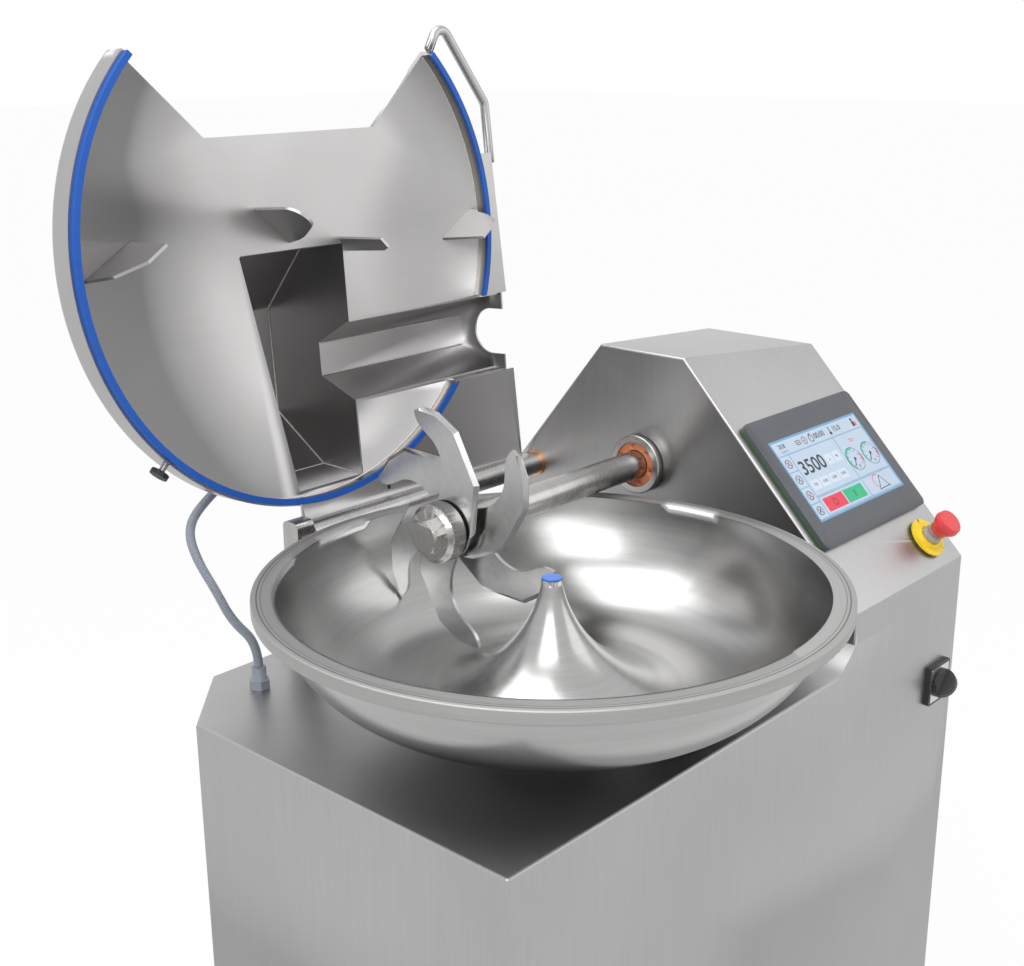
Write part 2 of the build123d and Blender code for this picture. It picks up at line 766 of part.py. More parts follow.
# ---------------------------------------------------------------- hinge

tube_left = post_right + 0.5
tube_right = wall + 75.0
pivot_radius = 10.0
hinge_post = block(
    post_left, post_right, hinge_y - 11, hinge_y + 19, deck, hinge_z + 23
)
hinge_post = fillet(hinge_post.edges().filter_by(Axis.X).group_by(Axis.Z)[-1], 8)
hinge_post += block(post_left - 8, post_right + 8, hinge_y - 18, hinge_y + 26, deck, deck + 6)
hinge_post -= rod_x(post_left + 4, post_right + 1, hinge_y, hinge_z, 12)
save(hinge_post, "hinge_post")

hinge_bushes = Compound([
    pipe_x(post_left + 5, post_right, hinge_y, hinge_z, 12 - 0.02, pivot_radius + running_gap),
    pipe_x(wall - 4, wall + 16, hinge_y, hinge_z, bush_radius - 0.02, hinge_radius + running_gap),
])
save(hinge_bushes, "hinge_bushes")

hinge_tube = rod_x(tube_left, tube_right, hinge_y, hinge_z, hinge_radius)
hinge_tube += rod_x(post_left + 5.5, tube_left, hinge_y, hinge_z, pivot_radius)
hinge_tube -= rod_x(tube_left + 20, tube_right + 1, hinge_y, hinge_z, hinge_radius - 4)
save(hinge_tube, "hinge_tube")

# the arm inside the housing turns with the tube and leans on a fixed bracket when open
arm_length = 70.0
arm_rest = 150.0
arm_left = wall + 22.0
arm_right = arm_left + 14.0
arm_place = Pos(0, hinge_y, hinge_z) * Rot(arm_rest, 0, 0)
lid_stop_arm = rod_x(arm_left, arm_right, 0, 0, 24) + block(arm_left, arm_right, 0, arm_length, -9, 9)
lid_stop_arm -= rod_x(arm_left - 1, arm_right + 1, 0, 0, hinge_radius + running_gap)
save(arm_place * lid_stop_arm, "lid_stop_arm")
stop_bracket = block(wall + sheet, arm_right, arm_length - 22, arm_length, -29.3, -9.3)
stop_bracket += block(wall + sheet, wall + sheet + 6, arm_length - 34, arm_length + 10, -40, -9.3)
save(arm_place * stop_bracket, "lid_stop_bracket")

# ---------------------------------------------------------------- lid, drawn closed

lid_x = bowl_x + lid_shift
gasket_outer = rim_radius - 9.5
gasket_inner = gasket_outer - gasket_width
ring_outer = gasket_outer - 2.5
ring_inner = ring_outer - 2.5
gasket_low = rim_top + lid_gap
ring_low = gasket_low + 2.2
panel_low_z = ring_low + lid_wall_height - 0.2
panel_high_z = panel_low_z + lid_sheet
step_low = rim_top + 10.0
shell_outer = gasket_outer + 3.0
shell_inner = shell_outer - 39.0
shell_top = panel_low_z + shell_height
plate_low = hinge_z + hinge_radius + 0.3
plate_high = plate_low + 4.0

# front cut-out with its two ears
cut_straight = bowl_y - 141.0 * bowl_scale
cut_left = bowl_x - 129.0 * bowl_scale
cut_right = bowl_x + 152.0 * bowl_scale
ear_left_x = bowl_x - 211.0 * bowl_scale
ear_left_y = bowl_y - 220.0 * bowl_scale
ear_right_x = bowl_x + 250.0 * bowl_scale
ear_right_y = bowl_y - 231.0 * bowl_scale


def beyond(x_near, y_near, x_far, y_far, factor):
    return (x_near + factor * (x_far - x_near), y_near + factor * (y_far - y_near))


left_far = beyond(cut_left, cut_straight, ear_left_x, ear_left_y, 2.0)
right_far = beyond(cut_right, cut_straight, ear_right_x, ear_right_y, 2.0)
front_gap = outline_of(
    (cut_left, cut_straight),
    left_far,
    (left_far[0], bowl_y - 1.2 * rim_radius),
    (right_far[0], bowl_y - 1.2 * rim_radius),
    right_far,
    (cut_right, cut_straight),
)
front_gap_solid = prism_z(front_gap, rim_top - 50, shell_top + 50)

# knife hood and shaft trough outlines
hood_left_front = bowl_x - 98.0 * bowl_scale
hood_left_back = bowl_x - 35.0 * bowl_scale
hood_right = bowl_x + 81.0 * bowl_scale
hood_front = shaft_y - 165.0 * bowl_scale
hood_back = shaft_y + 163.0 * bowl_scale
trough_front = shaft_y - 59.0
trough_back = shaft_y + 58.0
end_plate_right = wall - 34.0
end_plate_left = end_plate_right - 3.0


def hood_outline(inset, low):
    shape = outline_of(
        (hood_front, panel_low_z),
        (shaft_y - 155 * bowl_scale, panel_low_z + 93 * bowl_scale),
        (shaft_y - 66 * bowl_scale, panel_low_z + 177 * bowl_scale),
        (shaft_y + 88 * bowl_scale, panel_low_z + 177 * bowl_scale),
        (shaft_y + 157 * bowl_scale, panel_low_z + 84 * bowl_scale),
        (hood_back, panel_low_z),
    )
    if inset == 0:
        return shape
    inner = offset(shape, amount=-inset, kind=Kind.INTERSECTION)
    skirt = outline_of(
        (hood_front + inset, low),
        (hood_front + inset + 0.6, panel_low_z + inset + 1),
        (hood_back - inset - 0.2, panel_low_z + inset + 1),
        (hood_back - inset, low),
    )
    return inner + skirt


def hood_plan(inset):
    shape = outline_of(
        (hood_left_front, hood_front - 1),
        (hood_right, hood_front - 1),
        (hood_right, hood_back + 1),
        (hood_left_back, hood_back + 1),
    )
    return offset(shape, amount=-inset, kind=Kind.INTERSECTION) if inset else shape


hood_block = prism_x(hood_outline(0, 0), hood_left_front - 5, hood_right)
hood_block &= prism_z(hood_plan(0), rim_top, shell_top + 200)
hood_hollow = prism_x(hood_outline(hood_sheet, panel_low_z - 5), hood_left_front - 5, hood_right)
hood_hollow &= prism_z(hood_plan(hood_sheet), rim_top, shell_top + 200)


def trough_outline(inset):
    shape = outline_of(
        (trough_front, panel_low_z),
        (shaft_y - 23, panel_low_z + 70),
        (shaft_y + 27, panel_low_z + 70),
        (trough_back, panel_low_z),
    )
    if inset == 0:
        return shape
    inner = offset(shape, amount=-inset, kind=Kind.INTERSECTION)
    skirt = outline_of(
        (trough_front + 1.2 * inset, panel_low_z - 5),
        (trough_front + 2.3 * inset, panel_low_z + inset + 1),
        (trough_back - 2.1 * inset, panel_low_z + inset + 1),
        (trough_back - 1.1 * inset, panel_low_z - 5),
    )
    return inner + skirt


trough_hollow = prism_x(trough_outline(hood_sheet), hood_right - 10, end_plate_left)
trough_block = prism_x(trough_outline(0), hood_right, end_plate_left)

knife_hood = hood_block - hood_hollow - trough_hollow
save(opened(knife_hood), "knife_hood")

shaft_trough = trough_block - trough_hollow
for skirt_low, skirt_high in (
    (trough_front, trough_front + hood_sheet),
    (trough_back - hood_sheet, trough_back),
):
    shaft_trough += block(
        bowl_x + 250 * bowl_scale, end_plate_left, skirt_low, skirt_high, plate_high, panel_low_z + 3
    )
shaft_trough -= prism_x(trough_outline(hood_sheet), hood_right - 10, end_plate_left)
end_plate = prism_x(trough_outline(0), end_plate_left, end_plate_right)
end_plate += block(end_plate_left, end_plate_right, trough_front, trough_back, plate_high, panel_low_z + 3)
end_plate -= rod_x(end_plate_left - 1, end_plate_right + 1, shaft_y, shaft_z, 34)
end_plate -= block(
    end_plate_left - 1, end_plate_right + 1, shaft_y - 34, shaft_y + 34, plate_low - 5, shaft_z
)
shaft_trough += end_plate
keep_out = rod_z(rim_top, panel_low_z - 0.01, lid_x, bowl_y, ring_outer)
shaft_trough -= keep_out
save(opened(shaft_trough), "shaft_trough")

# round lid panel with its ring wall
trough_gap = block(
    hood_right - 2, wall, trough_front - 0.02, trough_back + 0.02, rim_top - 5, shell_top + 60
)
lid_dish = rod_z(panel_low_z, panel_high_z, lid_x, bowl_y, ring_outer)
lid_dish += pipe_z(ring_low, panel_low_z + 1, lid_x, bowl_y, ring_outer, ring_inner)
lid_dish -= front_gap_solid
edge_fold = prism_z(offset(front_gap, amount=3, kind=Kind.INTERSECTION), panel_high_z - 1, panel_high_z + 5)
edge_fold -= prism_z(front_gap, panel_low_z, panel_high_z + 10)
edge_fold &= rod_z(panel_low_z, panel_high_z + 10, lid_x, bowl_y, shell_inner - 0.1)
lid_dish += edge_fold
lid_dish -= block(hood_right - 3, wall, trough_front, trough_back, ring_low - 1, panel_high_z + 10)
lid_dish -= prism_z(hood_plan(0), panel_low_z - 1, panel_high_z + 10) & block(
    left, right, hood_front, hood_back, panel_low_z - 1, panel_high_z + 10
)
save(opened(lid_dish), "lid_dish")

# rim channel round the lid
shell_section = [
    Line((ring_outer, step_low), (shell_outer, step_low)),
    Line((shell_outer, step_low), (shell_outer, shell_top - shell_round)),
    RadiusArc(
        (shell_outer, shell_top - shell_round), (shell_outer - shell_round, shell_top), -shell_round
    ),
    Line((shell_outer - shell_round, shell_top), (shell_inner, shell_top)),
    Line((shell_inner, shell_top), (shell_inner, panel_high_z)),
    Line((shell_inner, panel_high_z), (ring_outer, panel_high_z)),
    Line((ring_outer, panel_high_z), (ring_outer, step_low)),
]
shell_face = make_face(shell_section)
shell_hollow_section = [
    Line((ring_outer, step_low + shell_sheet), (shell_outer - shell_sheet, step_low + shell_sheet)),
    Line(
        (shell_outer - shell_sheet, step_low + shell_sheet),
        (shell_outer - shell_sheet, shell_top - shell_round),
    ),
    RadiusArc(
        (shell_outer - shell_sheet, shell_top - shell_round),
        (shell_outer - shell_round, shell_top - shell_sheet),
        -(shell_round - shell_sheet),
    ),
    Line(
        (shell_outer - shell_round, shell_top - shell_sheet),
        (shell_inner + shell_sheet, shell_top - shell_sheet),
    ),
    Line((shell_inner + shell_sheet, shell_top - shell_sheet), (shell_inner + shell_sheet, panel_high_z)),
    Line((shell_inner + shell_sheet, panel_high_z), (ring_outer, panel_high_z)),
    Line((ring_outer, panel_high_z), (ring_outer, step_low + shell_sheet)),
]
shell_hollow_face = make_face(shell_hollow_section)
lid_outer_shell = spun_z(shell_face, lid_x, bowl_y) - spun_z(shell_hollow_face, lid_x, bowl_y)
lid_outer_shell -= front_gap_solid
ear_caps = prism_z(offset(front_gap, amount=shell_sheet, kind=Kind.INTERSECTION), step_low, shell_top + 1)
ear_caps -= front_gap_solid
ear_caps &= spun_z(shell_face, lid_x, bowl_y)
lid_outer_shell += ear_caps
# the right ear is cut low so that the panel's fold stands free beside the handle
ear_cut = prism_z(offset(front_gap, amount=24, kind=Kind.INTERSECTION), panel_high_z + 5, shell_top + 1)
lid_outer_shell -= ear_cut & block(bowl_x, wall, bowl_y - 1.2 * rim_radius, bowl_y, rim_top, shell_top + 1)
lid_outer_shell -= hood_block
lid_outer_shell -= trough_gap
save(opened(lid_outer_shell), "lid_outer_shell")

# gasket along the ring wall
gasket_face = outline_of(
    (gasket_inner, gasket_low),
    (gasket_outer, gasket_low),
    (gasket_outer, step_low),
    (ring_outer, step_low),
    (ring_outer, ring_low),
    (ring_inner, ring_low),
    (ring_inner, ring_low + 2),
    (gasket_inner, ring_low + 2),
)
lid_gasket = spun_z(gasket_face, lid_x, bowl_y)
lid_gasket -= front_gap_solid
lid_gasket -= block(hood_right, wall, trough_front, trough_back + 2, rim_top - 5, shell_top)
save(opened(lid_gasket), "lid_gasket")

# flat plate that joins the round lid to the hinge tube
plate_front = bowl_y - 94.0 * bowl_scale
plate_outline = outline_of(
    (plate_left, hinge_y + 11),
    (wall - 9, hinge_y + 11),
    (wall - 18, trough_back),
    (end_plate_right, trough_back),
    (end_plate_right, trough_front),
    (wall - 25, trough_front),
    (wall - 40, plate_front),
    (bowl_x, plate_front),
    (bowl_x, bowl_y),
    (plate_left, bowl_y),
)
lid_backing_plate = prism_z(plate_outline, plate_low, plate_high)
upstand = pipe_z(plate_low, step_low, lid_x, bowl_y, shell_outer, gasket_outer + 0.3)
upstand &= prism_z(plate_outline, plate_low, step_low)
lid_backing_plate -= rod_z(plate_low - 1, plate_high + 1, lid_x, bowl_y, gasket_outer + 0.3)
lid_backing_plate += upstand
lid_backing_plate -= block(bowl_x, end_plate_left, trough_front, trough_back, plate_low - 1, step_low + 1)
lid_backing_plate -= block(
    end_plate_left - 1, end_plate_right, shaft_y - 34, shaft_y + 34, plate_low - 1, step_low + 1
)
saddle = block(plate_left + 4, wall - 14, hinge_y - 14, hinge_y + 11, hinge_z + 8, plate_low)
saddle -= rod_x(tube_left - 1, wall, hinge_y, hinge_z, hinge_radius)
lid_backing_plate += saddle
pin_x = bowl_x + 108.0 * bowl_scale
pin_low = bowl_y + math.sqrt(shell_outer ** 2 - (pin_x - lid_x) ** 2) + 1
pin_radius = 5.5
pin_z = plate_low - 1.0 + pin_radius
lid_backing_plate -= rod_y(pin_low - 6, pin_low + 22, pin_x, pin_z, pin_radius)
save(opened(lid_backing_plate), "lid_backing_plate")

# grab handle: a bent tube from the right ear to the plate
handle_z = plate_high + handle_radius - 0.01
handle_points = [
    (ear_right_x + 1, ear_right_y - 1, handle_z),
    (ear_right_x + 30, ear_right_y - 47, handle_z),
    (wall - 36.6, plate_front - 70.2, handle_z),
    (wall - 33.1, plate_front - 3.4, handle_z),
]
handle_line = FilletPolyline(*handle_points, radius=16)
handle_start = Plane(origin=handle_line @ 0, z_dir=handle_line % 0)
lid_handle = sweep(handle_start * Circle(handle_radius), path=handle_line)
lid_handle -= rod_z(rim_top, shell_top, lid_x, bowl_y, gasket_outer + 0.3)
lid_handle -= rod_z(step_low, shell_top, lid_x, bowl_y, shell_outer)
lid_handle -= block(wall - 60, wall - 20, plate_front, plate_front + 34, plate_low - 1, plate_high)
save(opened(lid_handle), "lid_handle")

# four guide fins that stir the mix under the lid
fin_sheet = 4.0
fin_places = [
    (-315.0, 12.0, -250.0, -26.0, [(75, 76), (41, 78), (11, 44)]),
    (-63.0, -50.0, -10.0, -3.0, [(60, 39), (28, 92), (-2, 80)]),
    (74.0, 0.0, 88.0, 18.0, [(20, 76), (15, 87), (0, 84)]),
    (269.0, 22.0, 329.0, -14.0, [(63, 55), (43, 73), (6, 77)]),
]
bowl_space = outline_of(
    (channel_middle, deck),
    (rim_radius + 20, deck),
    (rim_radius + 20, ring_low + 2),
    (channel_middle, ring_low + 2),
)
bowl_space -= Pos(channel_middle, channel_z) * Circle(channel_radius - 4)
fin_limit = spun_z(bowl_space, bowl_x, bowl_y)
fin_limit += pipe_z(deck, panel_low_z + 1, lid_x, bowl_y, rim_radius + 20, gasket_inner - 1)
fins = []
for start_x, start_y, end_x, end_y, corners in fin_places:
    base_length = math.hypot(end_x - start_x, end_y - start_y) * bowl_scale
    turn = math.degrees(math.atan2(end_y - start_y, end_x - start_x))
    tips = [(along * bowl_scale, -drop * bowl_scale) for along, drop in corners]
    profile = outline_of((0, 0), (base_length, 0), *tips)
    fin = extrude(Plane.XZ * profile, amount=fin_sheet / 2, both=True)
    fin_start = Pos(bowl_x + start_x * bowl_scale, bowl_y + start_y * bowl_scale, panel_low_z)
    fin = fin_start * Rot(0, 0, turn) * fin
    fins.append(fin - fin_limit)
save(opened(Compound(fins)), "deflector_fins")

# rubber buffers
stem_z = step_low + 5.0
stem_place = Pos(lid_x, bowl_y, stem_z) * Rot(0, 0, 135.6)
stem = stem_place * Pos(shell_outer + 6.5, 0, 0) * Rot(0, 90, 0) * Cylinder(4, 13)
stem -= rod_z(rim_top, shell_top, lid_x, bowl_y, shell_outer)
save(opened(stem), "buffer_stems")
disc = stem_place * Pos(shell_outer + 16, 0, 0) * Rot(0, 90, 0) * Cylinder(12, 6)
pin = rod_y(pin_low, pin_low + 22, pin_x, pin_z, pin_radius)
save(opened(Compound([disc, pin])), "buffer_pads")

# ---------------------------------------------------------------- conduit to the lid

conduit_radius = 6.0
gland_top = deck + 29.0
conduit_gland_deck = Pos(conduit_x, conduit_y, deck) * extrude(RegularPolygon(14, 6), amount=12)
conduit_gland_deck += rod_z(deck + 12, gland_top, conduit_x, conduit_y, 9.5)
conduit_gland_deck += rod_z(deck - 14, deck, conduit_x, conduit_y, conduit_hole - 0.2)
save(conduit_gland_deck, "conduit_gland_deck")

elbow_x = bowl_x - 109.0 * bowl_scale
elbow_y = bowl_y + 294.0 * bowl_scale
elbow_z = shell_top + 15.4
outlet_way = Vector(-0.88, 0.47, 0).normalized()
elbow_body = rod_z(shell_top, shell_top + 26, elbow_x, elbow_y, 11)
elbow_outlet = Plane(origin=(elbow_x, elbow_y, elbow_z), z_dir=outlet_way) * upright(0, 26, 9.5)
save(opened(elbow_body + elbow_outlet), "conduit_gland_lid")
outlet_end = Vector(elbow_x, elbow_y, elbow_z) + outlet_way * 26.0
swing = math.radians(open_angle)
reach_y = outlet_end.Y - hinge_y
reach_z = outlet_end.Z - hinge_z
end_point = Vector(
    outlet_end.X,
    hinge_y + reach_y * math.cos(swing) + reach_z * math.sin(swing),
    hinge_z - reach_y * math.sin(swing) + reach_z * math.cos(swing),
)
end_way = Vector(
    outlet_way.X,
    outlet_way.Y * math.cos(swing),
    -outlet_way.Y * math.sin(swing),
)
# each bend: how far the run bows to the left of a straight climb, then its
# share of the reach to the back and of the climb
conduit_bends = [(34.7, 0.047, 0.343), (63.1, 0.168, 0.531), (78.3, 0.392, 0.714), (64.5, 0.719, 0.837)]
conduit_start = Vector(conduit_x, conduit_y, gland_top)
conduit_run = end_point - conduit_start
conduit_points = [conduit_start, conduit_start + Vector(0, 0, 33)]
for bow, back_share, climb_share in conduit_bends:
    bend = Vector(
        conduit_run.X * climb_share - bow,
        conduit_run.Y * back_share,
        conduit_run.Z * climb_share,
    )
    conduit_points.append(conduit_start + bend)
conduit_points += [end_point + end_way * 40, end_point]


def corner_radius(before, corner, after):
    # the largest arc that leaves a short straight piece of each run
    shorter = min((corner - before).length, (after - corner).length)
    half_turn = math.radians((corner - before).get_angle(after - corner)) / 2
    return 0.45 * shorter / math.tan(half_turn)


conduit_radii = [
    corner_radius(conduit_points[place - 1], conduit_points[place], conduit_points[place + 1])
    for place in range(1, len(conduit_points) - 1)
]
conduit_line = FilletPolyline(*conduit_points, radius=conduit_radii)
conduit_mouth = Plane(origin=conduit_line @ 0, z_dir=conduit_line % 0)
lid_conduit = sweep(conduit_mouth * Circle(conduit_radius), path=conduit_line)
save(lid_conduit, "lid_conduit")
print("conduit radii", [round(radius, 1) for radius in conduit_radii])
print("conduit length", round(conduit_line.length, 1))
straight_volume = math.pi * conduit_radius ** 2 * conduit_line.length
print("conduit volume", round(lid_conduit.volume / straight_volume, 4))
print("conduit end", end_point)
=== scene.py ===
import bpy
import bmesh
import json
import math
from mathutils import Matrix, Vector

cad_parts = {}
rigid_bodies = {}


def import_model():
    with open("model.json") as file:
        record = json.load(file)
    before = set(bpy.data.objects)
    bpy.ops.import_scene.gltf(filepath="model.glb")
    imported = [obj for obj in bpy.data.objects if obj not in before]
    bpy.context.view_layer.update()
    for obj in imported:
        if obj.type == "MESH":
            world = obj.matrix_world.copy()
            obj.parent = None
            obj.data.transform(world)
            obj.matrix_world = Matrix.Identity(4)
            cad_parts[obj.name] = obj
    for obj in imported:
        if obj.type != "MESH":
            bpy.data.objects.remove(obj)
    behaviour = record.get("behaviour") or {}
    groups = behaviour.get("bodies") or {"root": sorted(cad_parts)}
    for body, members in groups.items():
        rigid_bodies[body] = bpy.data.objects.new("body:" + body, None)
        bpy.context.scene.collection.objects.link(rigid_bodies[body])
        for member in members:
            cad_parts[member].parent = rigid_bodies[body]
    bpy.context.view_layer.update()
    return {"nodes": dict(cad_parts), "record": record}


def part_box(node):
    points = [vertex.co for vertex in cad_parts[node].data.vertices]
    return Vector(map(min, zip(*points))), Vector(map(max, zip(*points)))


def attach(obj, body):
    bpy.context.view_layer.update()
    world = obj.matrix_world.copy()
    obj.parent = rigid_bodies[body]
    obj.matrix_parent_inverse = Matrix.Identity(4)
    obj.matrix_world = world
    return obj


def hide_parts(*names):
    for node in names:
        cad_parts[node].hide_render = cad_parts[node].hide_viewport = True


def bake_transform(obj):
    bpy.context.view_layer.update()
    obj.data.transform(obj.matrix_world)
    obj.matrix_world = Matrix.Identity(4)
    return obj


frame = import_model()
bpy.ops.object.select_all(action="DESELECT")
record = frame["record"]
nodes = frame["nodes"]
print("frame loaded,", len(nodes), "nodes")


# places read from the frame
def nodeBox(name):
    low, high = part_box(name)
    return Vector(low), Vector(high)


def middleOf(name):
    low, high = nodeBox(name)
    return (low + high) / 2


bodyOf = {}
for bodyName, members in record["behaviour"]["bodies"].items():
    for member in members:
        bodyOf[member] = bodyName
jointPlace = {j["name"]: j for j in record["behaviour"]["joints"]}
bowlMiddle = middleOf("bowl")
shaftMiddle = Vector(jointPlace["knife_spin"]["pos_m"])
hingeMiddle = Vector(jointPlace["lid_swing"]["pos_m"])
openAngle = math.radians(jointPlace["lid_swing"]["range_deg"][1])
openTurn = (Matrix.Translation(hingeMiddle) @ Matrix.Rotation(-openAngle, 4, "X")
            @ Matrix.Translation(-hingeMiddle))
closedTurn = openTurn.inverted()  # from the open lid back to the closed one


# shader helpers
def newMaterial(name):
    mat = bpy.data.materials.new(name)
    mat.use_nodes = True
    tree = mat.node_tree
    tree.nodes.clear()
    out = tree.nodes.new("ShaderNodeOutputMaterial")
    out.location = (600, 0)
    shader = tree.nodes.new("ShaderNodeBsdfPrincipled")
    shader.location = (300, 0)
    tree.links.new(shader.outputs["BSDF"], out.inputs["Surface"])
    return mat, tree, shader


def mathNode(tree, operation, *values):
    node = tree.nodes.new("ShaderNodeMath")
    node.operation = operation
    for index, value in enumerate(values):
        if hasattr(value, "is_output"):
            tree.links.new(value, node.inputs[index])
        else:
            node.inputs[index].default_value = value
    return node.outputs[0]


def rampNode(tree, source, stops):
    node = tree.nodes.new("ShaderNodeValToRGB")
    tree.links.new(source, node.inputs["Fac"])
    ramp = node.color_ramp
    while len(ramp.elements) < len(stops):
        ramp.elements.new(0.5)
    for element, (place, colour) in zip(ramp.elements, stops):
        element.position = place
        element.color = (*colour, 1) if len(colour) == 3 else colour
    return node.outputs["Color"]


def rangeNode(tree, source, fromLow, fromHigh, toLow, toHigh):
    node = tree.nodes.new("ShaderNodeMapRange")
    node.clamp = True
    tree.links.new(source, node.inputs["Value"])
    ends = {"From Min": fromLow, "From Max": fromHigh, "To Min": toLow, "To Max": toHigh}
    for socket, value in ends.items():
        node.inputs[socket].default_value = value
    return node.outputs["Result"]


def bumpNode(tree, height, strength, distance):
    node = tree.nodes.new("ShaderNodeBump")
    node.inputs["Strength"].default_value = strength
    node.inputs["Distance"].default_value = distance
    tree.links.new(height, node.inputs["Height"])
    return node.outputs["Normal"]


def newGroup(name, inputs, outputs):
    group = bpy.data.node_groups.new(name, "ShaderNodeTree")
    for socketName, kind, value in inputs:
        socket = group.interface.new_socket(name=socketName, in_out="INPUT", socket_type=kind)
        if value is not None:
            socket.default_value = value
    for socketName, kind in outputs:
        group.interface.new_socket(name=socketName, in_out="OUTPUT", socket_type=kind)
    return group, group.nodes.new("NodeGroupInput"), group.nodes.new("NodeGroupOutput")


def buildGrainGroup():
    # brushed grain: fine streaks stretched along one direction, with slow cloudy tone
    group, inside, outside = newGroup(
        "steelGrain",
        [("Vector", "NodeSocketVector", None), ("Stretch", "NodeSocketVector", (1, 1, 1)),
         ("Cloud Scale", "NodeSocketFloat", 3.0)],
        [("Streaks", "NodeSocketFloat"), ("Cloud", "NodeSocketFloat"), ("Speckle", "NodeSocketFloat")],
    )
    stretched = group.nodes.new("ShaderNodeVectorMath")
    stretched.operation = "MULTIPLY"
    group.links.new(inside.outputs["Vector"], stretched.inputs[0])
    group.links.new(inside.outputs["Stretch"], stretched.inputs[1])
    streaks = group.nodes.new("ShaderNodeTexNoise")
    streaks.inputs["Scale"].default_value = 1.0
    streaks.inputs["Detail"].default_value = 4.0
    streaks.inputs["Roughness"].default_value = 0.65
    group.links.new(stretched.outputs[0], streaks.inputs["Vector"])
    cloud = group.nodes.new("ShaderNodeTexNoise")
    cloud.inputs["Detail"].default_value = 3.0
    cloud.inputs["Roughness"].default_value = 0.5
    group.links.new(inside.outputs["Vector"], cloud.inputs["Vector"])
    group.links.new(inside.outputs["Cloud Scale"], cloud.inputs["Scale"])
    speckle = group.nodes.new("ShaderNodeTexNoise")
    speckle.inputs["Scale"].default_value = 900.0
    speckle.inputs["Detail"].default_value = 1.0
    group.links.new(inside.outputs["Vector"], speckle.inputs["Vector"])
    group.links.new(streaks.outputs["Fac"], outside.inputs["Streaks"])
    group.links.new(cloud.outputs["Fac"], outside.inputs["Cloud"])
    group.links.new(speckle.outputs["Fac"], outside.inputs["Speckle"])
    return group


grainGroup = buildGrainGroup()


def buildRingGroup():
    # turning marks: tone by distance from an axis, so the rings run round it
    group, inside, outside = newGroup(
        "turningMarks",
        [("Vector", "NodeSocketVector", None), ("Axis", "NodeSocketVector", (1, 1, 0)),
         ("Fineness", "NodeSocketFloat", 900.0), ("Wander", "NodeSocketFloat", 0.02)],
        [("Rings", "NodeSocketFloat"), ("Coarse", "NodeSocketFloat"), ("Reach", "NodeSocketFloat")],
    )
    across = group.nodes.new("ShaderNodeVectorMath")
    across.operation = "MULTIPLY"
    group.links.new(inside.outputs["Vector"], across.inputs[0])
    group.links.new(inside.outputs["Axis"], across.inputs[1])
    length = group.nodes.new("ShaderNodeVectorMath")
    length.operation = "LENGTH"
    group.links.new(across.outputs[0], length.inputs[0])
    along = group.nodes.new("ShaderNodeVectorMath")
    along.operation = "SUBTRACT"
    group.links.new(inside.outputs["Vector"], along.inputs[0])
    group.links.new(across.outputs[0], along.inputs[1])
    alongLength = group.nodes.new("ShaderNodeVectorMath")
    alongLength.operation = "LENGTH"
    group.links.new(along.outputs[0], alongLength.inputs[0])
    spread = group.nodes.new("ShaderNodeCombineXYZ")
    group.links.new(length.outputs["Value"], spread.inputs[0])
    group.links.new(alongLength.outputs["Value"], spread.inputs[1])
    drift = group.nodes.new("ShaderNodeVectorMath")
    drift.operation = "MULTIPLY"
    group.links.new(inside.outputs["Vector"], drift.inputs[0])
    group.links.new(inside.outputs["Wander"], drift.inputs[1])
    summed = group.nodes.new("ShaderNodeVectorMath")
    summed.operation = "ADD"
    group.links.new(spread.outputs[0], summed.inputs[0])
    group.links.new(drift.outputs[0], summed.inputs[1])
    fine = group.nodes.new("ShaderNodeTexNoise")
    fine.inputs["Detail"].default_value = 3.0
    fine.inputs["Roughness"].default_value = 0.7
    group.links.new(summed.outputs[0], fine.inputs["Vector"])
    group.links.new(inside.outputs["Fineness"], fine.inputs["Scale"])
    coarse = group.nodes.new("ShaderNodeTexNoise")
    coarse.inputs["Scale"].default_value = 60.0
    coarse.inputs["Detail"].default_value = 2.0
    group.links.new(summed.outputs[0], coarse.inputs["Vector"])
    group.links.new(fine.outputs["Fac"], outside.inputs["Rings"])
    group.links.new(coarse.outputs["Fac"], outside.inputs["Coarse"])
    group.links.new(length.outputs["Value"], outside.inputs["Reach"])
    return group


ringGroup = buildRingGroup()


def placedVector(tree, origin=(0, 0, 0)):
    coords = tree.nodes.new("ShaderNodeTexCoord")
    mapping = tree.nodes.new("ShaderNodeMapping")
    mapping.vector_type = "TEXTURE"
    mapping.inputs["Location"].default_value = origin
    tree.links.new(coords.outputs["Object"], mapping.inputs["Vector"])
    return mapping.outputs["Vector"]


def brushedSteel(name, look):
    mat, tree, shader = newMaterial(name)
    vector = placedVector(tree)
    grain = tree.nodes.new("ShaderNodeGroup")
    grain.node_tree = grainGroup
    grain.inputs["Stretch"].default_value = look["stretch"]
    grain.inputs["Cloud Scale"].default_value = look.get("cloud", 3.0)
    tree.links.new(vector, grain.inputs["Vector"])
    low, high = look["dark"], look["light"]
    tone = mathNode(tree, "MULTIPLY", grain.outputs["Streaks"], look.get("streakTone", 0.5))
    tone = mathNode(tree, "MULTIPLY_ADD", grain.outputs["Cloud"], 1.0 - look.get("streakTone", 0.5), tone)
    colour = rampNode(tree, tone, [(0.3, low), (0.7, high)])
    tree.links.new(colour, shader.inputs["Base Color"])
    shader.inputs["Metallic"].default_value = 1.0
    lowest = look["rough"] - look["roughSpread"] / 2
    rough = mathNode(tree, "MULTIPLY_ADD", grain.outputs["Streaks"], look["roughSpread"], lowest)
    tree.links.new(rough, shader.inputs["Roughness"])
    speckle = grain.outputs["Speckle"]
    height = mathNode(tree, "MULTIPLY_ADD", speckle, look.get("speckle", 0.2), grain.outputs["Streaks"])
    normal = bumpNode(tree, height, look["bump"], 0.0004)
    tree.links.new(normal, shader.inputs["Normal"])
    return mat


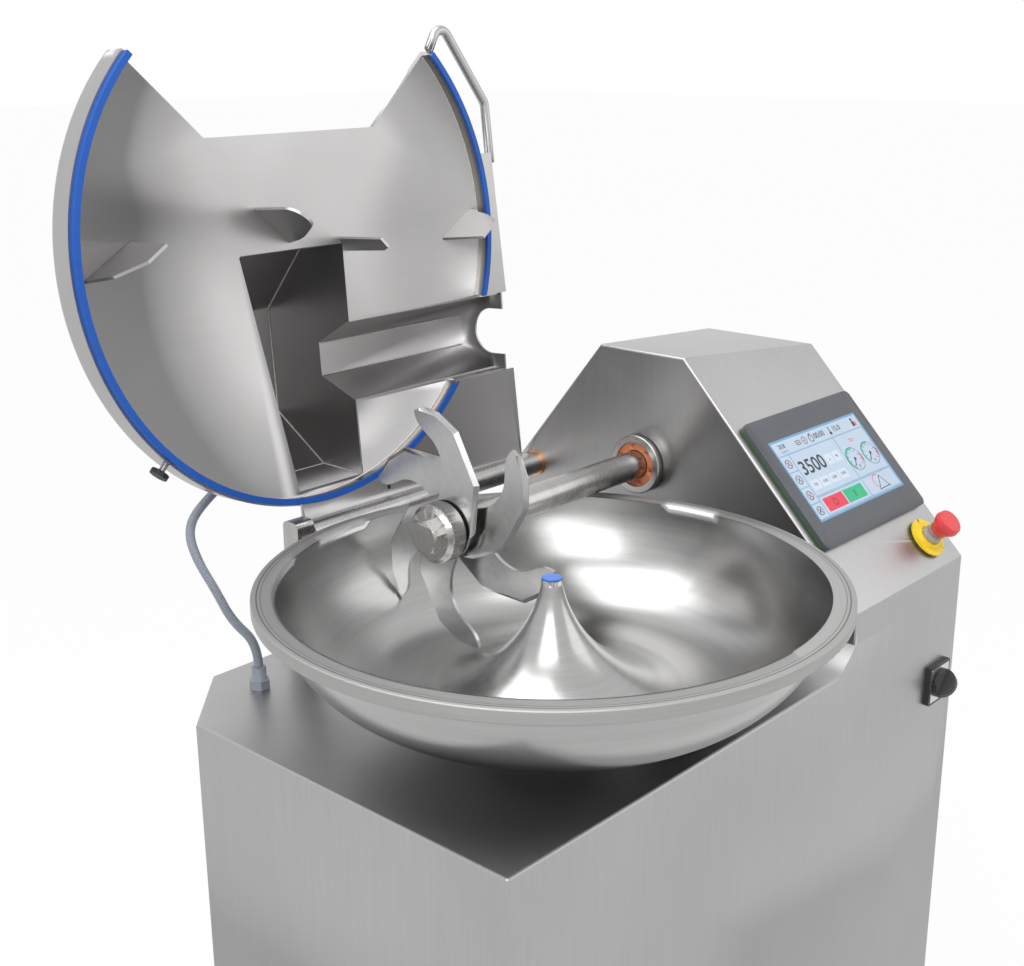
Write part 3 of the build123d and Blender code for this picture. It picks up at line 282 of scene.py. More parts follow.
def turnedSteel(name, look):
    mat, tree, shader = newMaterial(name)
    vector = placedVector(tree, origin=look["origin"])
    rings = tree.nodes.new("ShaderNodeGroup")
    rings.node_tree = ringGroup
    rings.inputs["Axis"].default_value = look["across"]
    rings.inputs["Fineness"].default_value = look["fine"]
    tree.links.new(vector, rings.inputs["Vector"])
    tone = mathNode(tree, "MULTIPLY", rings.outputs["Rings"], 0.5)
    tone = mathNode(tree, "MULTIPLY_ADD", rings.outputs["Coarse"], 0.5, tone)
    colour = rampNode(tree, tone, [(0.3, look["dark"]), (0.7, look["light"])])
    height = rings.outputs["Rings"]
    for radius, width in look.get("lines", ()):
        # a fine turned groove all the way round: a real dip in the bump, and a darker colour that is painted
        # shade in the groove
        off = mathNode(tree, "ABSOLUTE", mathNode(tree, "SUBTRACT", rings.outputs["Reach"], radius))
        line = rangeNode(tree, off, width * 0.4, width, 1.0, 0.0)
        darker = tree.nodes.new("ShaderNodeMix")
        darker.data_type = "RGBA"
        darker.inputs["B"].default_value = (*look["grooveShadeColour"], 1)
        tree.links.new(mathNode(tree, "MULTIPLY", line, 0.75), darker.inputs["Factor"])
        tree.links.new(colour, darker.inputs["A"])
        colour = darker.outputs["Result"]
        height = mathNode(tree, "MULTIPLY_ADD", line, -6.0, height)
    tree.links.new(colour, shader.inputs["Base Color"])
    shader.inputs["Metallic"].default_value = 1.0
    lowest = look["rough"] - look["roughSpread"] / 2
    rough = mathNode(tree, "MULTIPLY_ADD", rings.outputs["Rings"], look["roughSpread"], lowest)
    if "rimFrom" in look:
        # the flat of the rim is brushed, not polished
        rimEdge = look["rimFrom"]
        onRim = rangeNode(tree, rings.outputs["Reach"], rimEdge, rimEdge + 0.002, 0.0, look["rimRough"])
        rough = mathNode(tree, "ADD", rough, onRim)
    tree.links.new(rough, shader.inputs["Roughness"])
    normal = bumpNode(tree, height, look["bump"], 0.0003)
    tree.links.new(normal, shader.inputs["Normal"])
    return mat


def plainFinish(name, look):
    mat, tree, shader = newMaterial(name)
    vector = placedVector(tree)
    mottle = tree.nodes.new("ShaderNodeTexNoise")
    mottle.inputs["Scale"].default_value = look.get("scale", 40.0)
    mottle.inputs["Detail"].default_value = 3.0
    tree.links.new(vector, mottle.inputs["Vector"])
    base = look["colour"]
    darker = tuple(c * look.get("shade", 0.88) for c in base)
    colour = rampNode(tree, mottle.outputs["Fac"], [(0.3, darker), (0.7, base)])
    tree.links.new(colour, shader.inputs["Base Color"])
    shader.inputs["Metallic"].default_value = look.get("metal", 0.0)
    rough = mathNode(tree, "MULTIPLY_ADD", mottle.outputs["Fac"], 0.12, look["rough"] - 0.06)
    tree.links.new(rough, shader.inputs["Roughness"])
    fine = tree.nodes.new("ShaderNodeTexNoise")
    fine.inputs["Scale"].default_value = look.get("fine", 700.0)
    tree.links.new(vector, fine.inputs["Vector"])
    normal = bumpNode(tree, fine.outputs["Fac"], look.get("bump", 0.08), 0.0003)
    tree.links.new(normal, shader.inputs["Normal"])
    if "coat" in look:
        shader.inputs["Coat Weight"].default_value = look["coat"]
        shader.inputs["Coat Roughness"].default_value = 0.12
    return mat


finishes = {}
steelLooks = {
    "cabinet_steel": dict(dark=(0.39, 0.386, 0.386), light=(0.475, 0.471, 0.471), stretch=(260, 260, 9),
                          rough=0.4, roughSpread=0.12, bump=0.09, cloud=2.2, streakTone=0.45, speckle=0.5),
    "lid_steel": dict(dark=(0.385, 0.378, 0.376), light=(0.475, 0.468, 0.466), stretch=(14, 420, 420),
                      rough=0.36, roughSpread=0.06, bump=0.02, cloud=3.5, streakTone=0.16),
    "blade_steel": dict(dark=(0.4, 0.4, 0.4), light=(0.5, 0.5, 0.5), stretch=(300, 90, 90), rough=0.24,
                        roughSpread=0.1, bump=0.05, cloud=14.0, streakTone=0.4),
}
for slotName, look in steelLooks.items():
    finishes[slotName] = brushedSteel(slotName, look)

turnedLooks = {
    "bowl_steel": dict(dark=(0.37, 0.368, 0.364), light=(0.45, 0.448, 0.444), origin=tuple(bowlMiddle),
                       across=(1, 1, 0), fine=1100.0, rough=0.24, roughSpread=0.07, bump=0.025,
                       # the dark colour of the turned lines is painted shade in the grooves
                       lines=((0.3462, 0.0012), (0.3418, 0.0006)), grooveShadeColour=(0.12, 0.118, 0.115),
                       rimFrom=0.3275, rimRough=0.3),
    "turned_steel": dict(dark=(0.38, 0.37, 0.36), light=(0.48, 0.47, 0.46), origin=tuple(shaftMiddle),
                         across=(0, 1, 1), fine=900.0, rough=0.27, roughSpread=0.08, bump=0.04),
}
for slotName, look in turnedLooks.items():
    finishes[slotName] = turnedSteel(slotName, look)

plainLooks = {
    "bearing_steel": dict(colour=(0.7, 0.7, 0.7), metal=1.0, rough=0.18),
    "bronze": dict(colour=(0.72, 0.42, 0.25), metal=1.0, rough=0.34, scale=90.0),
    "frame_steel": dict(colour=(0.16, 0.165, 0.175), rough=0.5),
    "motor_paint": dict(colour=(0.06, 0.1, 0.14), rough=0.42),
    "pulley_iron": dict(colour=(0.09, 0.09, 0.095), metal=0.6, rough=0.5),
    "seal_orange": dict(colour=(0.62, 0.2, 0.09), rough=0.4, scale=120.0),
    "gasket_blue": dict(colour=(0.001, 0.088, 0.44), rough=0.55, bump=0.03),
    "cap_blue": dict(colour=(0.03, 0.16, 0.62), rough=0.32, coat=0.3),
    "rubber_black": dict(colour=(0.012, 0.012, 0.012), rough=0.6),
    "conduit_grey": dict(colour=(0.3, 0.33, 0.385), rough=0.42),
    "panel_grey": dict(colour=(0.075, 0.082, 0.095), rough=0.38),
    "panel_green": dict(colour=(0.045, 0.12, 0.04), rough=0.6),
    "stop_yellow": dict(colour=(0.88, 0.62, 0.006), rough=0.38),
    "stop_red": dict(colour=(0.72, 0.05, 0.055), rough=0.36),
    "stop_grey": dict(colour=(0.4, 0.38, 0.36), rough=0.4),
    "switch_black": dict(colour=(0.02, 0.02, 0.022), rough=0.4),
    "switch_silver": dict(colour=(0.66, 0.66, 0.67), metal=1.0, rough=0.3),
    "screen_glass": dict(colour=(0.3, 0.45, 0.62), rough=0.25),
}
for slotName, look in plainLooks.items():
    finishes[slotName] = plainFinish(slotName, look)
# bead finish lighter than the steel: a painted highlight along the lid's folds and ring
weldHighlightLook = dict(colour=(0.78, 0.76, 0.74), metal=0.55, rough=0.42, scale=260.0, shade=0.75)
finishes["weld_painted_highlight"] = plainFinish("weld_painted_highlight", weldHighlightLook)
# a darker copy of the brushed steel: painted shade on the lid's ring wall
wallShadeLook = dict(dark=(0.2, 0.185, 0.172), light=(0.27, 0.25, 0.235), stretch=(90, 90, 260), rough=0.34,
                roughSpread=0.1, bump=0.03, cloud=9.0, streakTone=0.3)
finishes["ring_wall_painted_shade"] = brushedSteel("ring_wall_painted_shade", wallShadeLook)

slotOf = {part["node"]: part["material_slot"] for part in record["subparts"]}
for nodeName, node in nodes.items():
    node.data.materials.clear()
    node.data.materials.append(finishes[slotOf[nodeName]])
print("finishes built:", len(finishes))


# dressed copies: the same solid with joined faces and smooth curves
def dressedCopy(nodeName, angle):
    piece = bpy.data.objects.new(nodeName + "Dressed", nodes[nodeName].data.copy())
    piece.data.name = piece.name
    bpy.context.collection.objects.link(piece)
    bpy.ops.object.select_all(action="DESELECT")
    piece.select_set(True)
    bpy.context.view_layer.objects.active = piece
    bpy.ops.object.mode_set(mode="EDIT")
    bpy.ops.mesh.select_all(action="SELECT")
    bpy.ops.mesh.remove_doubles(threshold=0.00002)
    bpy.ops.mesh.tris_convert_to_quads(face_threshold=0.02, shape_threshold=3.1)
    bpy.ops.object.mode_set(mode="OBJECT")
    bpy.ops.object.shade_smooth_by_angle(angle=math.radians(angle))
    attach(piece, bodyOf[nodeName])
    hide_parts(nodeName)
    return piece


# the angle up to which neighbouring faces look smooth, for each piece
smoothAngles = {
    "bowl": 40, "bowl_cap": 40, "bowl_spindle": 35, "knife_shaft": 35, "shaft_nut": 12,
    "clamp_collar": 30, "knife_spacers": 35, "shaft_flange": 40, "shaft_seal": 30, "hinge_tube": 35,
    "hinge_bushes": 35, "hinge_post": 35, "spindle_housing": 30, "lid_dish": 30, "lid_outer_shell": 40,
    "lid_gasket": 40, "lid_handle": 50, "knife_hood": 20, "shaft_trough": 20, "lid_backing_plate": 25,
    "deflector_fins": 20, "estop_head": 50, "estop_collar": 35, "estop_plate": 35, "switch_knob": 35,
    "conduit_gland_deck": 30, "conduit_gland_lid": 35, "buffer_pads": 35, "buffer_stems": 35,
    "levelling_feet": 35, "mains_gland": 30, "hmi_housing": 30, "switch_body": 35, "switch_plate": 35,
}
for number in range(1, 7):
    smoothAngles["knife_%d" % number] = 18
dressed = {}
for nodeName, angle in smoothAngles.items():
    dressed[nodeName] = dressedCopy(nodeName, angle)
print("dressed copies:", len(dressed))


# the cabinet and the casing welded on it are one smooth sheet, so one copy stands for both
def dressedCabinet(weldHeight):
    body = bpy.data.objects.new("cabinetDressed", nodes["cabinet_shell"].data.copy())
    casing = bpy.data.objects.new("casingDressed", nodes["housing_shell"].data.copy())
    for piece in (body, casing):
        bpy.context.collection.objects.link(piece)
    bpy.ops.object.select_all(action="DESELECT")
    body.select_set(True)
    casing.select_set(True)
    bpy.context.view_layer.objects.active = body
    bpy.ops.object.join()
    body.data.name = "cabinetDressed"
    bpy.ops.object.mode_set(mode="EDIT")
    bpy.ops.mesh.select_all(action="DESELECT")
    bpy.ops.mesh.select_mode(type="FACE")
    sheet = bmesh.from_edit_mesh(body.data)
    for face in sheet.faces:
        onWeld = abs(face.calc_center_median().z - weldHeight) < 0.00005
        face.select_set(onWeld and abs(face.normal.z) > 0.99)
    bmesh.update_edit_mesh(body.data)
    bpy.ops.mesh.delete(type="FACE")
    bpy.ops.mesh.select_all(action="SELECT")
    bpy.ops.mesh.remove_doubles(threshold=0.00002)
    bpy.ops.mesh.tris_convert_to_quads(face_threshold=0.02, shape_threshold=3.1)
    bpy.ops.mesh.select_mode(type="VERT")
    bpy.ops.object.mode_set(mode="OBJECT")
    bpy.ops.object.shade_smooth_by_angle(angle=math.radians(40))
    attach(body, "cabinet")
    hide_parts("cabinet_shell", "housing_shell")
    return body


dressedCabinet(nodeBox("housing_shell")[0].z)
print("cabinet dressed")


# the deflector fins get round outer corners, and the handle a foot that laps onto the plate
finLook = dict(
    panel=0.926,
    freeReach=0.03,
    sheet=0.004,
    sheetSlack=0.0004,
    roundBetween=(-0.28, -0.2),
    cornerRadius=0.009,
    roundFin=0.03,
    edge=0.0006,
)


def roundFins(look):
    fins = dressed["deflector_fins"]
    bpy.ops.object.select_all(action="DESELECT")
    fins.select_set(True)
    bpy.context.view_layer.objects.active = fins
    bpy.ops.object.mode_set(mode="EDIT")
    bpy.ops.mesh.select_mode(type="EDGE")
    for wanted, radius in (("round", look["roundFin"]), ("plain", look["cornerRadius"])):
        bpy.ops.mesh.select_all(action="DESELECT")
        blades = bmesh.from_edit_mesh(fins.data)
        for edge in blades.edges:
            middle = (edge.verts[0].co + edge.verts[1].co) / 2
            free = (closedTurn @ middle).z < look["panel"] - look["freeReach"]
            across = abs(edge.calc_length() - look["sheet"]) < look["sheetSlack"]
            inMiddle = look["roundBetween"][0] < middle.x < look["roundBetween"][1]
            edge.select_set(across and free and (inMiddle == (wanted == "round")))
        bmesh.update_edit_mesh(fins.data)
        bpy.ops.mesh.bevel(offset=radius, segments=6, affect="EDGES", clamp_overlap=True)
    bpy.ops.mesh.select_mode(type="VERT")
    bpy.ops.object.mode_set(mode="OBJECT")
    soft = fins.modifiers.new("softEdges", "BEVEL")
    soft.width = look["edge"]
    soft.segments = 2
    soft.limit_method = "ANGLE"
    soft.angle_limit = math.radians(50)
    bpy.ops.object.modifier_apply(modifier="softEdges")
    bpy.ops.object.shade_smooth_by_angle(angle=math.radians(30))


# welded folds: a thin bead along a run of points given for the closed lid, in millimetres, coloured lighter
# than the steel as a painted highlight along the fold
def weldBead(name, body, points, radius):
    line = bpy.data.curves.new(name, "CURVE")
    line.dimensions = "3D"
    line.bevel_depth = radius / 1000
    line.bevel_resolution = 1
    line.use_fill_caps = True
    spline = line.splines.new("POLY")
    spline.points.add(len(points) - 1)
    for point, place in zip(spline.points, points):
        point.co = (*(openTurn @ (Vector(place) / 1000)), 1)
    bead = bpy.data.objects.new(name, line)
    bpy.context.collection.objects.link(bead)
    bpy.ops.object.select_all(action="DESELECT")
    bead.select_set(True)
    bpy.context.view_layer.objects.active = bead
    bpy.ops.object.convert(target="MESH")
    bead = bpy.context.object
    bead.data.materials.clear()
    bead.data.materials.append(finishes["weld_painted_highlight"])
    bpy.ops.object.shade_smooth_by_angle(angle=math.radians(60))
    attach(bead, body)
    return bead


hoodLook = dict(
    panel=926.0,
    shaft=47.0,
    trough=((-20.2, 66.2), (24.2, 66.2)),
    troughEnds=(-124.0, 152.0),
    left=(-305.0, -119.0, -242.0, 211.0),
    right=-126.0,
    corners=((-165, 0), (-155, 93), (-66, 177), (88, 177), (157, 84), (163, 0)),
    inset=3.1,
)


def hoodPoint(look, corner, onRight=False):
    across, rise = corner
    y = look["shaft"] + across * (1 - look["inset"] / 165)
    z = look["panel"] + max(rise - look["inset"], 0)
    x0, y0, x1, y1 = look["left"]
    x = look["right"] - look["inset"] if onRight else x0 + (y - y0) / (y1 - y0) * (x1 - x0) + look["inset"]
    return (x, y, z)


def ringRun(middleX, middleY, radius, height, fromDegrees, toDegrees, step=3):
    count = int((toDegrees - fromDegrees) / step) + 1
    span = toDegrees - fromDegrees
    turns = [math.radians(fromDegrees + span * index / (count - 1)) for index in range(count)]
    return [(middleX + radius * math.cos(turn), middleY + radius * math.sin(turn), height) for turn in turns]


footLook = dict(lap=0.018, lean=(0.05, -0.07), slice=0.0025, level=-0.9)


def footHandle(look):
    handle = dressed["lid_handle"]
    bpy.ops.object.select_all(action="DESELECT")
    handle.select_set(True)
    bpy.context.view_layer.objects.active = handle
    bpy.ops.object.mode_set(mode="EDIT")
    bpy.ops.mesh.select_mode(type="FACE")
    bpy.ops.mesh.select_all(action="DESELECT")
    tube = bmesh.from_edit_mesh(handle.data)
    lowest = min(vert.co.z for vert in tube.verts)
    for face in tube.faces:
        atFoot = face.calc_center_median().z < lowest + look["slice"]
        face.select_set(atFoot and face.normal.z < look["level"])
    bmesh.update_edit_mesh(handle.data)
    lap = look["lap"]
    foot = (lap * look["lean"][0], lap * look["lean"][1], -lap)
    bpy.ops.mesh.extrude_region_move(TRANSFORM_OT_translate={"value": foot})
    bpy.ops.mesh.select_mode(type="VERT")
    bpy.ops.object.mode_set(mode="OBJECT")
    bpy.ops.object.shade_smooth_by_angle(angle=math.radians(50))


footHandle(footLook)
roundFins(finLook)
corners = hoodLook["corners"]
weldBead("hoodLeftWeld", "lid", [hoodPoint(hoodLook, corner) for corner in corners], 1.2)
for index, corner in enumerate(corners[1:5]):
    ends = [hoodPoint(hoodLook, corner), hoodPoint(hoodLook, corner, True)]
    weldBead("hoodFold%d" % (index + 1), "lid", ends, 0.65)
weldBead("hoodRightWeld", "lid", [hoodPoint(hoodLook, corner, True) for corner in corners], 1.1)
for index, (across, rise) in enumerate(hoodLook["trough"]):
    ends = [(x, hoodLook["shaft"] + across, hoodLook["panel"] + rise) for x in hoodLook["troughEnds"]]
    weldBead("troughFold%d" % (index + 1), "lid", ends, 0.9)
lidLook = dict(
    middle=(-202.0, -122.0),
    weldRadius=338.6,
    weldHeight=925.6,
    bead=0.9,
    runs=dict(ringWeldLeft=(97, 225), ringWeldRight=(-43, 18), ringWeldLow=(43, 96)),
    wall=0.339,
    wallSlack=0.0012,
    panel=0.926,
)
for runName, (fromDegrees, toDegrees) in lidLook["runs"].items():
    run = ringRun(*lidLook["middle"], lidLook["weldRadius"], lidLook["weldHeight"], fromDegrees, toDegrees)
    weldBead(runName, "lid", run, lidLook["bead"])
print("lid welds and fins done")

# the wall between the lid's panel and its seal gets a darker copy of the steel, as painted shade
dish = dressed["lid_dish"]
dish.data.materials.append(finishes["ring_wall_painted_shade"])
dishMiddle = Vector(lidLook["middle"]) / 1000
for face in dish.data.polygons:
    closed = closedTurn @ face.center
    outward = Vector((closed.x - dishMiddle.x, closed.y - dishMiddle.y))
    upright = abs((closedTurn.to_3x3() @ face.normal).z) < 0.3
    onWall = abs(outward.length - lidLook["wall"]) < lidLook["wallSlack"]
    if onWall and upright and closed.z < lidLook["panel"]:
        face.material_index = 1


# conduit: one rib repeated along the route
conduitLook = dict(radius=0.006, groove=0.0051, ribs=112, sides=18, length=0.304)
conduitRoute = [
    (-0.37301, 0.236, 0.739),
    (-0.37301, 0.236, 0.772),
    (-0.40653, 0.24103, 0.81197),
    (-0.41802, 0.254, 0.85197),
    (-0.42697, 0.278, 0.89090),
    (-0.41297, 0.31303, 0.91707),
    (-0.37422, 0.34182, 0.93296),
    (-0.33893, 0.34313, 0.95176),
]


def buildConduit(look, route):
    line = bpy.data.curves.new("conduitRoute", "CURVE")
    line.dimensions = "3D"
    line.resolution_u = 16
    spline = line.splines.new("NURBS")
    spline.points.add(len(route) - 1)
    for point, place in zip(spline.points, route):
        point.co = (*place, 1)
    spline.order_u = 3
    spline.use_endpoint_u = True
    guide = bpy.data.objects.new("conduitRoute", line)
    bpy.context.collection.objects.link(guide)
    bpy.context.view_layer.update()
    traced = bpy.data.meshes.new_from_object(guide.evaluated_get(bpy.context.evaluated_depsgraph_get()))
    path = [tuple(vertex.co) for vertex in traced.vertices]
    length = sum((Vector(b) - Vector(a)).length for a, b in zip(path, path[1:]))
    print("conduit length", round(length, 4))
    pitch = length / look["ribs"]
    bpy.ops.object.select_all(action="DESELECT")
    bpy.ops.mesh.primitive_circle_add(vertices=look["sides"], radius=look["groove"], location=(0, 0, 0),
                                      rotation=(0, math.pi / 2, 0))
    rib = bpy.context.object
    bpy.ops.object.transform_apply(location=True, rotation=True, scale=True)
    bpy.ops.object.mode_set(mode="EDIT")
    bpy.ops.mesh.select_all(action="SELECT")
    swell = look["radius"] / look["groove"]
    along = 0.0
    for share, factor in ((0.22, swell), (0.36, 1.0), (0.22, 1 / swell), (0.2, 1.0)):
        along += share * pitch
        bpy.ops.mesh.extrude_region_move(TRANSFORM_OT_translate={"value": (share * pitch, 0, 0)})
        bpy.ops.transform.resize(value=(1, factor, factor), center_override=(along, 0, 0))
    bpy.ops.object.mode_set(mode="OBJECT")
    rib.name = "conduitRibs"
    rib.data.name = "conduitRibs"
    repeat = rib.modifiers.new("ribs", "ARRAY")
    repeat.count = look["ribs"]
    repeat.use_merge_vertices = True
    repeat.merge_threshold = 0.00005
    follow = rib.modifiers.new("follow", "CURVE")
    follow.object = guide
    follow.deform_axis = "POS_X"
    bpy.ops.object.modifier_apply(modifier="ribs")
    bpy.ops.object.modifier_apply(modifier="follow")
    bpy.ops.object.mode_set(mode="EDIT")
    bpy.ops.mesh.select_all(action="SELECT")
    bpy.ops.mesh.normals_make_consistent(inside=False)
    bpy.ops.object.mode_set(mode="OBJECT")
    bpy.ops.object.shade_smooth_by_angle(angle=math.radians(35))
    bpy.data.objects.remove(guide)
    rib.data.materials.clear()
    rib.data.materials.append(finishes["conduit_grey"])
    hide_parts("lid_conduit")
    return rib


conduit = buildConduit(conduitLook, conduitRoute)
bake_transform(conduit)
print("conduit built")

# display graphics, laid out in millimetres from the middle of the glass
panelTurn = math.atan2(303, 292)
glassLow, glassHigh = nodeBox("hmi_screen")
glassLift = 0.0005
panelPlace = (Matrix.Translation((glassLow + glassHigh) / 2) @ Matrix.Rotation(panelTurn, 4, "X")
              @ Matrix.Translation((0, 0, glassLift)))
displayLook = dict(
    field=(0.46, 0.56, 0.68),
    chip=(0.58, 0.66, 0.76),
    line=(0.07, 0.3, 0.52),
    ink=(0.012, 0.014, 0.02),
    red=(0.72, 0.03, 0.07),
    green=(0.015, 0.42, 0.2),
)
for inkName, inkColour in displayLook.items():
    inkLook = dict(colour=inkColour, rough=0.35, bump=0.01, shade=0.97)
    finishes["display_" + inkName] = plainFinish("display_" + inkName, inkLook)
displaySheets = {}
displayStep = 0.00006  # each level of the display lies this much higher


def displaySheet(ink):
    if ink not in displaySheets:
        mesh = bpy.data.meshes.new("display_" + ink)
        sheet = bpy.data.objects.new("display_" + ink, mesh)
        bpy.context.collection.objects.link(sheet)
        mesh.materials.append(finishes["display_" + ink])
        displaySheets[ink] = sheet
    sheet = displaySheets[ink]
    bpy.ops.object.select_all(action="DESELECT")
    sheet.select_set(True)
    bpy.context.view_layer.objects.active = sheet
    return sheet


def addTiles(ink, level, tiles):
    # a tile is x, y, width and height; level is its height above the glass in steps
    displaySheet(ink)
    bpy.ops.object.mode_set(mode="EDIT")
    for x, y, width, height in tiles:
        bpy.ops.mesh.select_all(action="DESELECT")
        place = (x / 1000, y / 1000, level * displayStep)
        bpy.ops.mesh.primitive_plane_add(size=1, location=place)
        bpy.ops.transform.resize(value=(width / 1000, height / 1000, 1), center_override=place)
        bpy.ops.mesh.extrude_region_move(TRANSFORM_OT_translate={"value": (0, 0, displayStep)})
    bpy.ops.object.mode_set(mode="OBJECT")


def addRing(ink, level, x, y, radius, width, fromDegrees=0, toDegrees=360, spokes=36):
    # a flat ring or part of one
    displaySheet(ink)
    bpy.ops.object.mode_set(mode="EDIT")
    bpy.ops.mesh.select_all(action="DESELECT")
    place = (x / 1000, y / 1000, (level + 1) * displayStep)
    bpy.ops.mesh.primitive_circle_add(vertices=spokes, radius=radius / 1000, location=place)
    bpy.ops.mesh.extrude_region_move(TRANSFORM_OT_translate={"value": (0, 0, 0)})
    share = 1 - width / radius
    bpy.ops.transform.resize(value=(share, share, 1), center_override=place)
    bpy.ops.mesh.select_linked()
    bpy.ops.mesh.select_mode(type="FACE")
    flat = bmesh.from_edit_mesh(bpy.context.object.data)
    for face in flat.faces:
        if face.select:
            middle = face.calc_center_median()
            turn = math.degrees(math.atan2(middle.y - place[1], middle.x - place[0])) % 360
            face.select_set(not fromDegrees <= turn <= toDegrees)
    bmesh.update_edit_mesh(bpy.context.object.data)
    bpy.ops.mesh.delete(type="FACE")
    bpy.ops.mesh.select_mode(type="VERT")
    bpy.ops.object.mode_set(mode="OBJECT")


def addLabel(ink, level, text, x, y, height, bold=0.0):
    bpy.ops.object.select_all(action="DESELECT")
    bpy.ops.object.text_add(location=(0, 0, 0))
    label = bpy.context.object
    label.data.body = text
    label.data.size = height / 1000 * 1.42
    label.data.align_x = "CENTER"
    label.data.align_y = "CENTER"
    label.data.resolution_u = 3
    label.data.offset = bold
    bpy.ops.object.convert(target="MESH")
    label.location = (x / 1000, y / 1000, (level + 1) * displayStep)
    bpy.ops.object.transform_apply(location=True, rotation=True, scale=True)
    label.data.materials.clear()
    label.data.materials.append(finishes["display_" + ink])
    sheet = displaySheet(ink)
    label.select_set(True)
    bpy.ops.object.join()


def addNeedle(ink, level, x, y, length, degrees, thick=1.1):
    displaySheet(ink)
    bpy.ops.object.mode_set(mode="EDIT")
    bpy.ops.mesh.select_all(action="DESELECT")
    place = (x / 1000, y / 1000, level * displayStep)
    turn = math.radians(degrees)
    middle = (place[0] + length / 2000 * math.cos(turn), place[1] + length / 2000 * math.sin(turn), place[2])
    bpy.ops.mesh.primitive_plane_add(size=1, location=middle)
    bpy.ops.transform.resize(value=(length / 1000, thick / 1000, 1), center_override=middle)
    bpy.ops.transform.rotate(value=-turn, orient_axis="Z", center_override=middle)
    bpy.ops.mesh.extrude_region_move(TRANSFORM_OT_translate={"value": (0, 0, displayStep)})
    bpy.ops.object.mode_set(mode="OBJECT")


columnBoxes = [(-101.5, 27, 22, 24), (-101.5, 1, 22, 24), (-101.5, -25, 22, 24), (-101.5, -50, 22, 22)]
panelBoxes = [(-30.5, 5, 115, 68), (69.5, 5, 80, 68), (-30.5, -46.5, 115, 27), (69.5, -46.5, 80, 27)]
addTiles("field", 1, [(0, 51.5, 224, 20)] + columnBoxes + panelBoxes)
presets = [(-74, "700"), (-49.5, "1500"), (-25, "2500"), (-0.5, "3500")]
addTiles("chip", 2, [(-9, 13, 17, 17), (11, 13, 17, 17)] + [(x, -14, 22, 15) for x, text in presets])
addTiles("line", 1, [(0, 63.6, 228, 1.4), (0, -63.6, 228, 1.4), (-113.6, 0, 1.4, 128), (113.6, 0, 1.4, 128)])
addLabel("ink", 3, "3500", -53, 13, 22, bold=0.0004)
addLabel("ink", 3, "-", -9, 13, 9)
addLabel("ink", 3, "+", 11, 13, 9)
for labelX, labelText in presets:
    addLabel("ink", 3, labelText, labelX, -14, 4.6)
addLabel("ink", 2, "20.8", -92, 54, 6.6, bold=0.00012)
addLabel("ink", 2, "12:45:10", -92, 45.6, 3.4)
addLabel("ink", 2, "00:00", 4, 51.5, 8.6, bold=0.00012)
addLabel("ink", 2, "15.0", 51, 51.5, 8.6, bold=0.00012)
addLabel("red", 2, "70.0", 66, 27, 5.4)
addTiles("red", 2, [(-57.5, -46.5, 50, 21)])
addTiles("green", 2, [(-4.5, -46.5, 50, 21)])
addRing("ink", 3, -57.5, -46.5, 5.6, 1.3)
addTiles("ink", 3, [(-4.5, -46.5, 1.6, 11)])
for gaugeX in (47, 90):
    addRing("green", 2, gaugeX, -1, 18, 2.2, 70, 235)
    addRing("red", 2, gaugeX, -1, 18, 2.2, 330, 360)
    addRing("red", 2, gaugeX, -1, 18, 2.2, 0, 20)
    addRing("ink", 2, gaugeX, -1, 19, 0.7)
    for tick in range(9):
        turn = math.radians(-45 + 33.75 * tick)
        tickX, tickY = gaugeX + 12.2 * math.cos(turn), -1 + 12.2 * math.sin(turn)
        addNeedle("ink", 3, tickX, tickY, 3.2, math.degrees(turn), 0.8)
    addNeedle("ink", 3, gaugeX, -1, 13, 232, 1.6)
    addRing("ink", 3, gaugeX, -1, 2.4, 2.3)
    addLabel("ink", 3, "0", gaugeX, -14, 5)
frameSign = [(-52, 54.5, 11, 1), (-52, 48.5, 11, 1), (-57, 51.5, 1, 7), (-47, 51.5, 1, 7), (-52, 51.5, 7, 1)]
addTiles("ink", 2, frameSign)
addTiles("red", 2, [(-35.5, 51.5, 7, 1.2), (-35.5, 51.5, 1.2, 7)])
addRing("ink", 2, -35.5, 51.5, 6, 0.9)
addRing("ink", 2, -18, 51, 6, 1.2)
addTiles("ink", 2, [(-18, 58, 3, 2), (-18, 52.5, 1, 4)])
addRing("ink", 2, 33, 47.5, 2.8, 2.7)
addTiles("ink", 2, [(33, 53.5, 1.8, 9)])
addRing("ink", 2, 97, 56, 2.6, 2.5)
addTiles("ink", 2, [(97, 49, 6, 8)])
addTiles("red", 2, [(102.5, 48.5, 3, 7)])
for box in columnBoxes:
    boxX, boxY = box[:2]
    addRing("ink", 3, boxX, boxY, 7, 1)
    addNeedle("red" if boxY > -30 else "ink", 3, boxX - 4, boxY - 4, 11, 45, 1.3)
    addNeedle("ink", 3, boxX + 4, boxY - 4, 11, 135, 1.1)
addRing("red", 2, 62, -44, 11, 1.2, 60, 250)
addNeedle("ink", 2, 58, -56, 24, 55, 1.2)
addNeedle("ink", 2, 72, -37, 24, 300, 1.2)
addNeedle("ink", 2, 56, -57, 30, 2, 1.2)
for ink, sheet in displaySheets.items():
    sheet.data.transform(panelPlace)
    bpy.ops.object.select_all(action="DESELECT")
    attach(sheet, "cabinet")
print("display drawn:", len(displaySheets), "colours")


